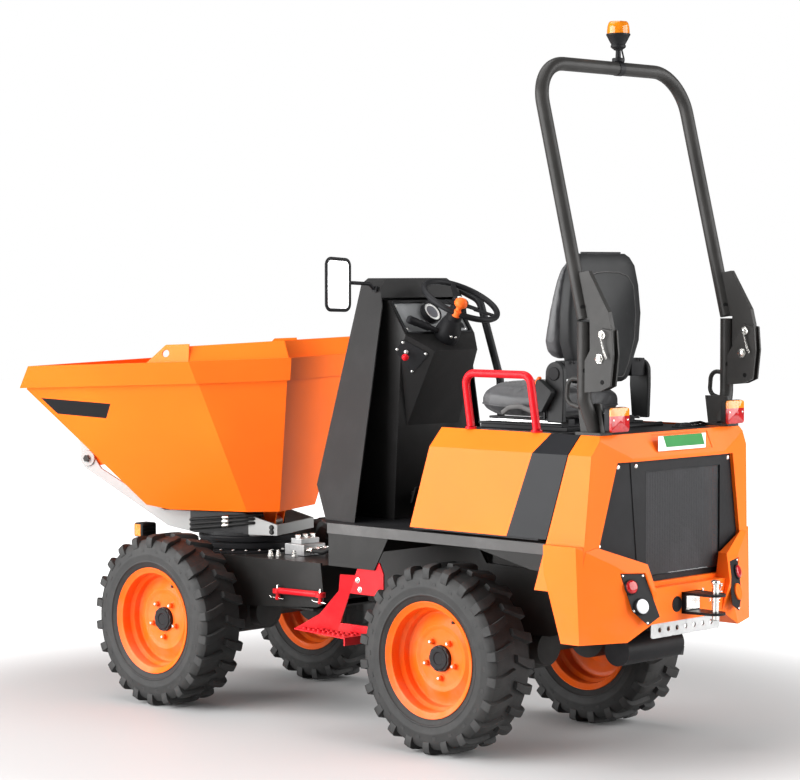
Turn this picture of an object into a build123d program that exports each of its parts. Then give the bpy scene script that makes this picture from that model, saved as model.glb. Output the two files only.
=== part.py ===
from build123d import *
import os
from math import cos, pi, radians, sin

# A one-tonne site dumper: two chassis halves hinged at an articulation pin, a skip that swivels and tips on
# the front half, and the operator's place, the engine and a folding roll-over hoop on the rear half.
# Millimetres. The pieces are drawn about the machine's own centre line: X forward, Y left, Z up, from the
# ground below the articulation pin. The skip and its carrier are drawn in their own frame, X out along the
# skip, with the slewing axis at X = 0. Every finished piece is then moved so that the origin is below the
# middle of the machine.

# ---------------------------------------------------------------- driving dimensions
WHEELBASE = 1487.0
TYRE_RADIUS = 338.0          # out to the lug tips
TYRE_WIDTH = 211.0
OVER_TYRES = 1075.0          # outer face to outer face
AXLE_Z = TYRE_RADIUS         # wheel centre above the ground
ORIGIN_Y = 111.0             # the middle of the standing machine lies this far to the left of its centre line
ORIGIN_X = 0.0

RIM_RADIUS = 207.0           # rim flange
RIM_SEAT_RADIUS = 190.0      # bead seat
BOLT_COUNT = 5
BOLT_CIRCLE = 140.0
HUB_BORE = 94.0
HUB_REACH = 22.0             # hub cap out of the flange
LUG_COUNT = 22
LUG_SPLIT = 6.0              # half the bare strip between the left and the right lugs
TYRE_SIDE = [(72.5, 190.0), (105.5, 261.0), (101.5, 294.0), (75.5, 322.0)]   # half section: width, radius
LUG_SIDE = [(105.0, 324.0), (84.0, 338.0)]          # the lug's outer end and the edge of its tread

FLOOR_TOP = 780.0            # foot plate
DECK_TOP = 1155.0            # engine deck and hood top
BODY_HALF = 462.0            # half width at the foot of the side panels
BODY_CREASE = (440.0, 1088.0)    # half width and height of the shoulder crease
BODY_SHOULDER = 395.0        # half width at the deck
PANEL_FOOT = 797.0           # bottom of the side panels
PANEL = 5.0                  # sheet thickness of panels
GAP = 4.0                    # seam between neighbouring panels
SEAT_CLEARANCE = 0.3         # running gap of a piece that rests on another

SLEW_X = WHEELBASE / 2 + 6.5     # slewing axis ahead of the articulation pin
SLEW_REST = 21.5             # the skip stands swivelled this far to the left
RING_RADIUS = 190.0
RING_TOP = 650.0

SKIP_FLOOR = 754.0
SKIP_WALL = 5.0
RIM_HEIGHT = 88.0            # folded rim round the tub
RIM_OUT = 18.0
GUARD_HEIGHT = 68.0
EAR_Y = 150.0                # inner face of the skip's tipping ears
RAM_EAR_Y = 34.0
RAM_PIN_RADIUS = 12.0
BEAD_INSET = 21.0            # tyre bead from the tyre's outer face
TIP_PIVOT = (640.0, 945.0)   # along and above, in the skip's frame
TIP_PIN_RADIUS = 15.0
TIP_RAM_BASE = (400.0, 735.0)
TIP_RAM_EYE = (-120.0, 694.0)

GUARD_FEET = [(190.0, 518.0), (2.0, 522.0), (-350.0, 356.0)]
GUARD_HEADS = [(110.0, 505.0), (8.0, 505.0), (-318.0, 328.0)]
GUARD_EYE = 0.30             # slinging eye along the guard's side, from its front end
SLING_RADIUS = 15.0

FRONT_HALF = 235.0           # outer face of the front frame's side plates
REAR_HALF = 165.0
ART_LUG = (455.0, 545.0)     # height span of the articulation lug
ART_PIN_RADIUS = 22.0
FLOOR_HALF = 446.0

STEP_TOP = 382.0             # tread of the access step
STEP_REAR = -WHEELBASE / 2 + TYRE_RADIUS + 44.0      # its rear edge, clear of the rear tyre
STEP_OUT = (57.0, 111.0)     # the tread's outer edge from the hanger's face, at its front and its rear end
STEP_FRONT = (-33.0, -205.0)     # the tread's front edge, at its outer and its inner end
STEP_SHEET = 6.0
ARM_TOP = (-300.0, 595.0)    # head of the fold between hanger and arm
ARM_EDGE = [(-239.0, 595.0), (-227.0, 534.0), (-142.0, 442.0)]     # outer edge of the arm in the side view

PANEL_FRONT, PANEL_REAR = -597.0, -1235.0
PANEL_RAKE = 0.262
LID_FRONT, LID_HALF = -1200.0, 300.0
HOOD_FOOT = 616.0
HOOD_REAR = -1452.0          # the hood's rear face
HOOD_FOLD = [(262.0, 1062.0), (225.0, 716.0)]    # the fold between rear face and corner: half width, height
HOOD_CORNER = (-1405.0, 458.0, 786.0)            # foot of the crease between corner and side
RECESS_DEPTH = 14.0
RECESS_WALL = 5.0
GRILLE_HALF = [(328.0, 1062.0), (400.0, 775.0), (330.0, 642.0)]      # half width, height
MESH_Y, MESH_Z = (-252.0, 172.0), (662.0, 1024.0)
SLAT_COUNT = 24
LABEL_Y, LABEL_Z = (-197.0, 124.0), (1088.0, 1146.0)
BUMPER_FOOT = 452.0
HORN_TOP = [(-1250.0, 495.0, 781.0), (-1390.0, 492.0, 783.0), (-1451.0, 354.0, 714.0),
            (-1490.0, 225.0, 708.0)]
HORN_FEET = [(-1322.0, 487.0, 452.0), (-1440.0, 395.0, 452.0), (-1475.0, 310.0, 455.0),
             (-1494.0, 190.0, 512.0)]
HORN_BELLY = (-1502.0, 292.0, 573.0)
HORN_LEDGE = [(-1418.0, 404.0, 776.0), (-1452.0, 236.0, 716.0)]     # where the horn's top meets the hood
LAMP_RECESS = 9.0
LAMP_BORE = 16.0             # depth of a lamp's own seat below the lamp face
BEAM_REAR = -1494.0
BEAM_HOLE = (68.0, 562.0, 27.5)      # half width, height and radius of the blind hole in the beam
HORN_LAMPS = [(304.0, 642.0, 22.0), (277.0, 575.0, 27.0)]     # half width, height and radius
HITCH_REAR, HITCH_HALF, HITCH_PLATE = -1641.0, 42.0, 9.0
HITCH_Z = (528.0, 592.0)     # lower faces of the jaw's plates
APRON_Z, APRON_HALF = (452.0, 504.7), 196.0      # drilled plate below the beam
LAMP_PLATE = [(338.0, 690.0), (240.0, 684.0), (208.0, 535.0), (262.0, 508.0), (316.0, 560.0)]

STEER_HUB = (-424.0, 1601.0)
STEER_TILT = 29.0
STEER_RADIUS = 145.0
COLUMN_RADIUS = 30.0
COLUMN_END = 200.0           # the column's foot, measured down from the hub
DASH = [(-232.0, 1602.0), (-320.0, 1475.0), (-402.0, 1415.0)]      # profile of the dash: head, bend and foot
DASH_HALF = [192.0, 118.0]   # half widths of the dash at its bend and its foot
DASH_RECESS = 8.0
GAUGE_RADIUS = 41.0

COWL_TOP, COWL_CHAMFER = 1685.0, (165.0, 1658.0)     # head of the cowl; half width and height of its chamfer
COWL_FLANK = [(-170.0, 205.0, 1680.0), (-5.0, 325.0, 905.0), (-240.0, 215.0, 1680.0)]
SEAT_SIDE = [(-1040, 1191), (-740, 1191), (-705, 1214), (-692, 1262), (-712, 1300), (-760, 1312),
             (-1000, 1296), (-1040, 1290)]
SEAT_FRONT = [(205, 1191), (240, 1222), (240, 1272), (222, 1300), (170, 1312)]       # half width, height
BACK_SIDE = [(-1062, 1312), (-1000, 1362), (-985, 1400), (-955, 1450), (-1001, 1643), (-1010, 1700),
             (-1060, 1764), (-1105, 1774), (-1128, 1730), (-1134, 1560), (-1128, 1400), (-1098, 1312)]
BACK_FRONT = [(158, 1312), (172, 1400), (200, 1462), (205, 1560), (192, 1660), (172, 1735), (128, 1774)]
HINGE_COVER = (-1090.0, 1352.0, 45.0)                # centre and radius of the seat's hinge covers
COVER_Y = (226.0, 250.0)

HOOP_PIVOT = (-1434.0, 1417.0)
HOOP_HALF = 404.0            # hoop leg from the centre line
HOOP_TUBE = 24.0             # radius
PIN_RADIUS = 10.0
PIN_PLAY = 0.08              # radial play of a pin in its bore
SEATED = (Align.CENTER, Align.CENTER, Align.MIN)     # centred, and standing on its origin


# ---------------------------------------------------------------- shape helpers
def block(x, y, z):
    """Return the box between the (low, high) pairs x, y and z."""
    spans = (x, y, z)
    return Pos(*[(low + high) / 2 for low, high in spans]) * Box(*[high - low for low, high in spans])


def plate_xz(points, y_low, y_high):
    """Return the plate whose outline lies in XZ, between two values of Y."""
    outline = Plane.XZ * Polygon(*points, align=None)
    return Pos(0, y_low, 0) * extrude(outline, y_high - y_low, dir=(0, 1, 0))


def plate_yz(points, x_low, x_high):
    """Return the plate whose outline lies in YZ, between two values of X."""
    outline = Plane.YZ * Polygon(*points, align=None)
    return Pos(x_low, 0, 0) * extrude(outline, x_high - x_low, dir=(1, 0, 0))


def plate_xy(points, z_low, z_high):
    """Return the plate whose outline lies in XY, between two values of Z."""
    return Pos(0, 0, z_low) * extrude(Polygon(*points, align=None), z_high - z_low, dir=(0, 0, 1))


def bar(start, end, radius, bore=0.0):
    """Return a round bar, or a tube when it has a bore, between two points."""
    along = Vector(*end) - Vector(*start)
    section = Circle(radius)
    if bore:
        section -= Circle(bore)
    return extrude(Plane(origin=start, z_dir=along) * section, along.length)


def pin_y(x, z, y_low, y_high, radius):
    """Return a round pin that lies along Y."""
    return bar((x, y_low, z), (x, y_high, z), radius)


def bent_bar(points, bend, radius):
    """Return a round bar bent along straight runs, with one radius at every corner."""
    path = FilletPolyline(*points, radius=bend)
    return sweep(Plane(origin=path @ 0, z_dir=path % 0) * Circle(radius), path)


def facing(a, b, c, inside):
    """Return the plane through three points as (point, normal), its normal away from the inside point."""
    normal = (Vector(*b) - Vector(*a)).cross(Vector(*c) - Vector(*a)).normalized()
    if (Vector(*inside) - Vector(*a)).dot(normal) > 0:
        normal = -normal
    return Vector(*a), normal


def hull(planes, offset=0.0, reach=2600.0):
    """Return the convex solid inside every plane, each moved outward by the offset."""
    solid = Pos(0, 0, reach / 2) * Box(2 * reach, 2 * reach, reach)
    for point, normal in planes:
        cutter = Plane(origin=point + normal * offset, z_dir=normal)
        solid = split(solid, bisect_by=cutter, keep=Keep.BOTTOM)
    return solid


def sheet(points, thickness, towards):
    """Return a flat sheet with the given corners, thickened towards a point."""
    a, b, c = [Vector(*point) for point in points[:3]]
    normal = (b - a).cross(c - a).normalized()
    if (Vector(*towards) - a).dot(normal) < 0:
        normal = -normal
    flat = [Vector(*point) - normal * (Vector(*point) - a).dot(normal) for point in points]
    return extrude(make_face(Polyline(*flat, close=True)), thickness, dir=normal)


def other_side(shape):
    """Return the mirror image across the centre line."""
    return mirror(shape, about=Plane.XZ)


def both_sides(shape):
    """Return the shape joined with its mirror image."""
    return shape + other_side(shape)


NODES = {}


def keep(name, *shapes, at=None):
    """Keep a finished sub-part, in place, under its node name."""
    whole = shapes[0]
    for shape in shapes[1:]:
        whole = whole + shape
    if at is not None:
        whole = at * whole
    NODES[name] = Pos(-ORIGIN_X, -ORIGIN_Y, 0) * whole


# ---------------------------------------------------------------- wheels
def tyre():
    """Return one tyre about Y, outer face towards +Y, centred on its width, as flat-sided columns."""
    columns = 2 * LUG_COUNT
    step_angle = 2 * pi / columns
    stretch = 1 / cos(step_angle / 2)

    def corner(width, radius, turn, side):
        angle = step_angle * (turn - 0.5) - pi / 2
        return (radius * stretch * cos(angle), side * width, radius * stretch * sin(angle))

    def flat(*corners):
        return Face(Wire.make_polygon(corners, close=True))

    lugged = TYRE_SIDE[:2] + LUG_SIDE + [(LUG_SPLIT, TYRE_RADIUS), (LUG_SPLIT, TYRE_SIDE[-1][1])]
    crown = TYRE_SIDE[-1][1]
    faces = []
    for index in range(columns):
        side = 1 if index % 2 == 0 else -1
        for rows, towards in ((lugged, side), (TYRE_SIDE, -side)):
            for low, high in zip(rows, rows[1:]):
                ends = [corner(*low, index, towards), corner(*high, index, towards)]
                ends += [corner(*high, index + 1, towards), corner(*low, index + 1, towards)]
                faces.append(flat(*ends))
        bare = [(TYRE_SIDE[-1][0], -side), (LUG_SPLIT, -side), (LUG_SPLIT, side)]
        tread = [corner(width, crown, index, towards) for width, towards in bare]
        tread += [corner(width, crown, index + 1, towards) for width, towards in reversed(bare)]
        faces.append(flat(*tread))
        bore = [corner(*TYRE_SIDE[0], turn, towards) for turn, towards in ((index, 1), (index, -1))]
        bore += [corner(*TYRE_SIDE[0], turn, towards) for turn, towards in ((index + 1, -1), (index + 1, 1))]
        faces.append(flat(*bore))
        wall = lugged[1:] + TYRE_SIDE[:1:-1]
        for turn in (index, index + 1):
            faces.append(flat(*[corner(*point, turn, side) for point in wall]))
    return Solid(Shell(faces))


def rim():
    """Return one steel wheel about Y, its outer face towards +Y, centred on the tyre's width."""
    half = TYRE_WIDTH / 2
    wall = 5.0
    seat = RIM_SEAT_RADIUS - SEAT_CLEARANCE
    well = seat - 16
    bead = half - BEAD_INSET
    outer = [
        (RIM_RADIUS, bead + 9), (RIM_RADIUS, bead + 1), (seat, bead - 11), (seat, bead - 45),
        (well, bead - 58),
    ]
    inner = [(radius - wall, width - 1.0) for radius, width in outer[2:]]
    flange = (seat - wall, bead + 2)
    half_outline = outer + [(well, 0.0), (well - wall, 0.0)] + inner[::-1] + [flange]
    barrel = revolve(Polygon(*half_outline, align=None), axis=Axis.Y)
    disc_outline = [
        (HUB_BORE / 2, 22.0), (BOLT_CIRCLE / 2 + 24, 22.0), (125.0, 2.0), (well - wall + 1, 2.0),
        (well - wall + 1, -6.0), (122.0, -6.0), (BOLT_CIRCLE / 2 + 22, 14.0), (HUB_BORE / 2, 14.0),
    ]
    disc = revolve(Polygon(*disc_outline, align=None), axis=Axis.Y)
    bolt = Pos(BOLT_CIRCLE / 2, 14, 0) * Rot(-90, 0, 0) * Cylinder(8, 26, align=SEATED)
    bolts = [Rot(0, index * 360.0 / BOLT_COUNT, 0) * bolt for index in range(BOLT_COUNT)]
    return barrel + other_side(barrel) + disc + bolts


def wheel_place(x, side):
    """Return the place of a wheel: the axle at x, the outer face turned away from the centre line."""
    place = Pos(x, side * (OVER_TYRES - TYRE_WIDTH) / 2, AXLE_Z)
    return place if side > 0 else place * Rot(0, 0, 180)


def axle(x):
    """Return a drive axle: beam, middle casing, flanged ends and a hub at each side."""
    disc_face = (OVER_TYRES - TYRE_WIDTH) / 2 + 14.0
    end = disc_face - 2 * SEAT_CLEARANCE
    beam = pin_y(x, AXLE_Z, -end + 40, end - 40, 42)
    casing = pin_y(x, AXLE_Z, -95, 95, 92) + bar((x - 130, 20, AXLE_Z), (x + 90, 20, AXLE_Z), 62)
    cap_radius = HUB_BORE / 2 - SEAT_CLEARANCE
    hub = pin_y(x, AXLE_Z, end - 92, end, 88) + pin_y(x, AXLE_Z, end - 1, end + HUB_REACH, cap_radius)
    pads = block((x - 45, x + 45), (175, 225), (AXLE_Z + 30, AXLE_Z + 62))
    return beam + casing + both_sides(hub) + both_sides(pads)


# ---------------------------------------------------------------- skip and its carrier
def skip_planes():
    """Return the tub's outer wall planes in the skip's frame, and the plane of its open top."""
    inside = (150.0, 0.0, 1100.0)
    back_foot, back_head = (-224.0, 172.0, SKIP_FLOOR), (-345.0, 350.0, 1369.0)
    corner_head = (0.0, 515.0, 1362.0)
    side_foot, side_front = (161.0, 241.0, SKIP_FLOOR), (720.0, 535.0, 1335.0)
    planes = [(Vector(0, 0, SKIP_FLOOR), Vector(0, 0, -1))]
    profile = [(230.0, SKIP_FLOOR), (330.0, 771.0), (742.0, 1241.0), (678.0, 1334.0)]
    for (x0, z0), (x1, z1) in zip(profile, profile[1:]):
        planes.append(facing((x0, 0.0, z0), (x1, 0.0, z1), (x0, 100.0, z0), inside))
    planes.append(facing(back_foot, back_head, (back_foot[0], 0.0, back_foot[2]), inside))
    for side in (1, -1):
        foot, head, corner, low, front = [
            (x, side * y, z) for x, y, z in (back_foot, back_head, corner_head, side_foot, side_front)
        ]
        planes.append(facing(foot, head, corner, inside))
        planes.append(facing(corner, low, front, inside))
    top = facing(corner_head, side_front, (corner_head[0], -corner_head[1], corner_head[2]), inside)
    return planes, top


def rim_z(x):
    """Return the height of the tub's top edge at x in the skip's frame."""
    return 1362.0 - 0.0375 * x


def sling_eye(side):
    """Return the bar that cuts the slinging eye square through the guard's side."""
    (x0, y0), (x1, y1) = GUARD_FEET[:2]
    foot, foot_back = Vector(x0, y0, rim_z(x0)), Vector(x1, y1, rim_z(x1))
    head = Vector(GUARD_HEADS[0][0], GUARD_HEADS[0][1], rim_z(GUARD_HEADS[0][0]) + GUARD_HEIGHT)
    head_back = Vector(GUARD_HEADS[1][0], GUARD_HEADS[1][1], rim_z(GUARD_HEADS[1][0]) + GUARD_HEIGHT)
    middle = (foot + head) * 0.5 * (1 - GUARD_EYE) + (foot_back + head_back) * 0.5 * GUARD_EYE
    normal = (foot_back - foot).cross(head - foot).normalized()
    eye = bar(middle - normal * 20, middle + normal * 20, SLING_RADIUS)
    return eye if side > 0 else other_side(eye)


def skip_body():
    """Return the hollow tub with its folded rim, the raised guard at the back, and its hinge and ram ears."""
    walls, top = skip_planes()
    sky = (top[0] + top[1] * 200, top[1])
    under_rim = (top[0] - top[1] * RIM_HEIGHT, -top[1])
    under_fold = (top[0] - top[1] * SKIP_WALL, top[1])
    inner = hull(walls + [sky], -SKIP_WALL)
    tub = hull(walls + [top]) - inner
    band = hull(walls + [sky], RIM_OUT) - hull(walls + [sky], RIM_OUT - SKIP_WALL) + (
        hull(walls + [sky], RIM_OUT - 1) - inner - hull([under_fold]))
    band = band & hull([top, under_rim])
    guard = []
    for side in (1, -1):
        feet = [(x, side * y, rim_z(x) - 2) for x, y in GUARD_FEET]
        heads = [(x, side * y, rim_z(x) + GUARD_HEIGHT) for x, y in GUARD_HEADS]
        for index in (0, 1):
            corners = [feet[index], feet[index + 1], heads[index + 1], heads[index]]
            panel = sheet(corners, SKIP_WALL, (0, 0, 1300))
            guard.append(panel - sling_eye(side) if index == 0 else panel)
    back_x, back_y = GUARD_FEET[-1]
    head_x, head_y = GUARD_HEADS[-1]
    foot_z, head_z = rim_z(back_x) - 2, rim_z(head_x) + GUARD_HEIGHT
    corners = [(back_x, back_y, foot_z), (back_x, -back_y, foot_z), (head_x, -head_y, head_z),
               (head_x, head_y, head_z)]
    guard.append(sheet(corners, SKIP_WALL, (0, 0, 1300)))
    pivot_x, pivot_z = TIP_PIVOT
    ear_outline = [(pivot_x - 170, pivot_z - 6), (pivot_x - 60, pivot_z + 118), (pivot_x + 20, pivot_z + 24),
                   (pivot_x + 26, pivot_z - 10), (pivot_x, pivot_z - 28), (pivot_x - 40, pivot_z - 30)]
    ear = plate_xz(ear_outline, EAR_Y, EAR_Y + 12) - pin_y(*TIP_PIVOT, 0, 400, TIP_PIN_RADIUS + PIN_PLAY)
    ear = ear - hull(walls + [sky], -1)
    eye_x, eye_z = TIP_RAM_EYE
    ram_ear = plate_xz([(eye_x - 34, SKIP_FLOOR + 1), (eye_x + 34, SKIP_FLOOR + 1), (eye_x + 16, eye_z - 18),
                        (eye_x - 16, eye_z - 18)], RAM_EAR_Y, RAM_EAR_Y + 10)
    return tub + band + guard + both_sides(ear) + both_sides(ram_ear)


def skip_carrier():
    """Return the swivelling carrier: turntable, two cheeks rising to the tipping pins, and cross members."""
    pivot_x, pivot_z = TIP_PIVOT
    cheek_y = EAR_Y + 12 + 6
    foot, head = RING_TOP + 8, SKIP_FLOOR - 9
    cheek_outline = [(-215, foot), (150, foot), (272, foot + 23), (pivot_x + 20, pivot_z - 35),
                     (pivot_x + 43, pivot_z + 80), (pivot_x + 12, pivot_z + 62), (pivot_x - 60, pivot_z - 40),
                     (290, head), (-60, head), (-215, head - 45)]
    cheek = plate_xz(cheek_outline, cheek_y, cheek_y + 10)
    pin = pin_y(pivot_x, pivot_z, EAR_Y - 8, cheek_y + 22, TIP_PIN_RADIUS)
    disc = Pos(0, 0, RING_TOP + SEAT_CLEARANCE) * Cylinder(RING_RADIUS, 14, align=SEATED)
    front_tie = block((470, 482), (-cheek_y, cheek_y), (800, 842))
    rear_tie = block((-215, -205), (-cheek_y, cheek_y), (foot, head - 45))
    base_x, base_z = TIP_RAM_BASE
    base_tie = block((446, 476), (-cheek_y, cheek_y), (800, 812))
    base_ear = plate_xz([(476, 801), (446, 801), (base_x - 10, base_z + 20), (base_x - 20, base_z - 8),
                         (base_x - 8, base_z - 20), (base_x + 14, base_z - 18)], RAM_EAR_Y, RAM_EAR_Y + 10)
    base_pin = pin_y(base_x, base_z, -RAM_EAR_Y - 12, RAM_EAR_Y + 12, RAM_PIN_RADIUS)
    return both_sides(cheek + pin) + disc + front_tie + rear_tie + base_tie + both_sides(base_ear) + base_pin


def ram(base, eye, barrel_radius, rod_radius, half_width, cover):
    """Return a hydraulic ram's barrel and rod; cover is how far the barrel reaches towards the rod's eye."""
    along = (Vector(eye[0], 0, eye[1]) - Vector(base[0], 0, base[1]))
    run = along.normalized()
    start, end = Vector(base[0], 0, base[1]), Vector(eye[0], 0, eye[1])
    bore = RAM_PIN_RADIUS + PIN_PLAY
    barrel = pin_y(*base, -half_width, half_width, RAM_PIN_RADIUS + 12)
    barrel += bar(start + run * 14, end - run * cover, barrel_radius)
    barrel -= pin_y(*base, -half_width - 1, half_width + 1, bore)
    barrel -= bar(start + run * 60, end, rod_radius + PIN_PLAY)
    rod = bar(start + run * 62, end - run * 14, rod_radius)
    rod += pin_y(*eye, -half_width, half_width, RAM_PIN_RADIUS + 12)
    return barrel, rod


# ---------------------------------------------------------------- front chassis
def front_frame():
    """Return the welded front half: side plates, deck, floor, nose, axle seats and the articulation lug."""
    half = FRONT_HALF
    belly = AXLE_Z + 64.0
    side_outline = [(70, belly + 38), (90, 592), (560, 584), (940, 590), (1110, 560), (1110, belly + 68),
                    (960, belly - 6), (500, belly - 10), (110, belly + 18)]
    side = plate_xz(side_outline, half - 10, half)
    deck = block((90, 1105), (-half + 10, half - 10), (572, 582))
    floor = block((140, 600), (-half + 10, half - 10), (belly, belly + 8))
    nose = block((1098, 1108), (-half + 10, half - 10), (belly + 68, 560))
    tail = block((92, 104), (-half + 10, half - 10), (belly + 38, 576))
    ring = bar((SLEW_X, 0, 582), (SLEW_X, 0, RING_TOP), RING_RADIUS - 8)
    lug = bar((0, 0, ART_LUG[0]), (0, 0, ART_LUG[1]), 46)
    neck = block((0, 100), (-38, 38), ART_LUG)
    bore = bar((0, 0, ART_LUG[0] - 100), (0, 0, ART_LUG[1] + 100), ART_PIN_RADIUS + PIN_PLAY)
    saddle_z = (belly - 2 + SEAT_CLEARANCE, belly + 3)
    saddle = block((WHEELBASE / 2 - 50, WHEELBASE / 2 + 50), (168, 232), saddle_z)
    return both_sides(side) + deck + floor + nose + tail + ring + (lug + neck - bore) + both_sides(saddle)


def lock_bar():
    """Return the stowed articulation lock: a red bar on two studs on the front frame's left side."""
    y = FRONT_HALF + 14
    flat = plate_xz([(45, 461), (333, 456), (333, 482), (45, 487)], y, y + 12)
    studs = [pin_y(x, z, FRONT_HALF + SEAT_CLEARANCE, y + 26, 8) for x, z in ((72, 472), (305, 469))]
    return flat + studs


def work_lamp(side):
    """Return one front lamp: box, bracket and lens seat on the front frame."""
    x, y, z = 1085.0, side * 262.0, 655.0
    housing = block((x - 30, x + 30), (y - 38, y + 38), (z - 30, z + 30))
    stalk = block((x - 6, x + 6), (y - 12, y + 12), (z - 109, z - 29))
    inner = side * (FRONT_HALF + SEAT_CLEARANCE)
    foot = block((x - 20, x + 15), sorted((y + side * 12, inner)), (z - 110, z - 94))
    return housing + stalk + foot


# ---------------------------------------------------------------- rear chassis
def rear_frame():
    """Return the welded rear half: rails, cross plates, articulation fork and axle seats."""
    half = REAR_HALF
    belly = AXLE_Z + 62.0
    rail_outline = [(-150, belly + 30), (-150, 735), (-640, 735), (-700, 650), (-1420, 630),
                    (-1420, belly + 100), (-1250, belly + 70), (-1000, belly + 10), (-300, belly)]
    rail = plate_xz(rail_outline, half - 12, half)
    head = block((-162, -150), (-half + 12, half - 12), (belly + 30, 735))
    fork = []
    for low, high in ((ART_LUG[1] + 1, ART_LUG[1] + 19), (ART_LUG[0] - 19, ART_LUG[0] - 1)):
        outline = [(-155, -110), (-40, -44), (20, -44), (46, -20), (46, 20), (20, 44), (-40, 44), (-155, 110)]
        fork.append(plate_xy(outline, low, high))
    pin = bar((0, 0, ART_LUG[0] - 30), (0, 0, ART_LUG[1] + 32), ART_PIN_RADIUS)
    tail = block((-1420, -1408), (-half + 12, half - 12), (belly + 100, 630))
    saddle_z = (belly + SEAT_CLEARANCE, belly + 16)
    saddle = block((-WHEELBASE / 2 - 50, -WHEELBASE / 2 + 50), (148, 232), saddle_z)
    top = FLOOR_TOP - 6 - SEAT_CLEARANCE
    reach = FLOOR_HALF - 10
    outrigger = block((-420, -400), (half - 2, reach), (690, top))
    outrigger += block((-1110, -1090), (half - 2, reach), (700, top))
    hang = block((-1110, -1090), (half - 2, half + 20), (600, 738))
    cross = block((-480, -400), (-half + 12, half - 12), (723, 735))
    return both_sides(rail + saddle + outrigger + hang) + head + fork + pin + tail + cross


def muffler():
    """Return the silencer across the tail, with a strap to each rail."""
    face = REAR_HALF - 12 - SEAT_CLEARANCE
    can = pin_y(-1230, 372, -250, 70, 55)
    right = block((-1240, -1220), (-face, 10 - face), (372, 500))
    left = block((-1240, -1220), (50, face), (412, 424))
    left += block((-1240, -1220), (face - 10, face), (412, 500))
    return can + right + left


def floor_plate():
    """Return the foot plate with its cut front corners."""
    half = FLOOR_HALF - 8 - SEAT_CLEARANCE
    plate = block((-640, -60), (-half, half), (FLOOR_TOP - 6, FLOOR_TOP))
    beyond = FLOOR_HALF + 1
    corner = plate_xy([(-160, beyond), (-55, 375), (-55, beyond)], FLOOR_TOP - 10, FLOOR_TOP + 5)
    return plate - both_sides(corner)


def sill_rail():
    """Return the left sill rail, with the shelf behind the foot plate that carries the engine box."""
    edge = block((-1215, -160), (FLOOR_HALF - 8, FLOOR_HALF), (FLOOR_TOP - 38, FLOOR_TOP))
    shelf = block((-1215, -640 - SEAT_CLEARANCE), (FLOOR_HALF - 60, FLOOR_HALF), (FLOOR_TOP - 6, FLOOR_TOP))
    return edge + shelf


def side_skirt():
    """Return the left dark skirt below the floor's edge, ahead of and behind the wheel."""
    top = FLOOR_TOP - 38 - SEAT_CLEARANCE
    front = plate_xz([(-165, 622), (-165, top), (-470, top), (-400, 622)], FLOOR_HALF - 8, FLOOR_HALF - 2)
    rear = plate_xz([(-900, top), (-1214, top), (-1199, 684), (-1155, 685)], FLOOR_HALF - 8, FLOOR_HALF - 2)
    return front + rear


def step():
    """Return the left step: hanger plate, the arm folded out from it, and the tread with its two flanges."""
    face = FLOOR_HALF - 8 - SEAT_CLEARANCE
    behind = (0.0, face - 300, STEP_TOP + 100)
    top_x, top_z = ARM_TOP
    run = (STEP_FRONT[1] - top_x) / (top_z - STEP_TOP)
    fold = [(top_x + run * (top_z - z) + 3, z) for z in (622.0, 527.0)]
    rear = STEP_REAR - 80
    head = [(rear, 527), (rear, 610), (rear + 20, 650), (fold[0][0], 650)]
    hanger = plate_xz(fold + head, face - STEP_SHEET, face)
    sunk = STEP_TOP - STEP_SHEET / 2
    front_out = (STEP_FRONT[0], face + STEP_OUT[0], sunk)
    front_in = (STEP_FRONT[1], face, sunk)
    outline = [front_out, front_in, (top_x, face, top_z)] + [(x, face, z) for x, z in ARM_EDGE]
    normal = (Vector(*front_in) - Vector(*front_out)).cross(Vector(*outline[2]) - Vector(*front_out))
    base = Vector(*front_in)
    skewed = []
    for x, y, z in outline[3:]:
        y -= (Vector(x, y, z) - base).dot(normal) / normal.Y
        skewed.append((x, y, z))
    arm = sheet(outline[:3] + skewed, STEP_SHEET, behind)
    tread_outline = [front_out[:2], (STEP_REAR + 8, face + STEP_OUT[1]), (STEP_REAR, face), front_in[:2]]
    tread = plate_xy(tread_outline, STEP_TOP - STEP_SHEET, STEP_TOP)
    upturn = block((STEP_REAR, STEP_FRONT[1]), (face - STEP_SHEET, face),
                   (STEP_TOP - STEP_SHEET, STEP_TOP + 30))
    rear_edge = tread_outline[2:0:-1] + [(x + STEP_SHEET, y) for x, y in tread_outline[1:3]]
    downturn = plate_xy(rear_edge, STEP_TOP - 30, STEP_TOP)
    return hanger + arm + tread + upturn + downturn


def body_planes():
    """Return the planes of the rear body's cross-section: foot, sides, shoulders and deck."""
    inside = (-1000.0, 0.0, 900.0)
    crease_y, crease_z = BODY_CREASE
    planes = [(Vector(0, 0, PANEL_FOOT), Vector(0, 0, -1)), (Vector(0, 0, DECK_TOP), Vector(0, 0, 1))]
    for side in (1, -1):
        foot = (0.0, side * BODY_HALF, PANEL_FOOT)
        crease = (0.0, side * crease_y, crease_z)
        shoulder = (0.0, side * BODY_SHOULDER, DECK_TOP)
        planes.append(facing(foot, crease, (-1000.0, foot[1], foot[2]), inside))
        planes.append(facing(crease, shoulder, (-1000.0, crease[1], crease[2]), inside))
    return planes


def raked(x, towards):
    """Return a plane through x at the panels' foot, leaning back with the panels' ends."""
    normal = Vector(1, 0, PANEL_RAKE).normalized() * towards
    return Vector(x, 0, PANEL_FOOT), normal


def side_panel():
    """Return the left engine side panel with its shoulder."""
    ends = [raked(PANEL_FRONT, 1), raked(PANEL_REAR, -1)]
    shell = hull(body_planes() + ends) - hull(body_planes()[2:], -PANEL)
    return shell & block((-2000, 0), (BODY_SHOULDER - 30, 600), (0, 2000))


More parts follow.
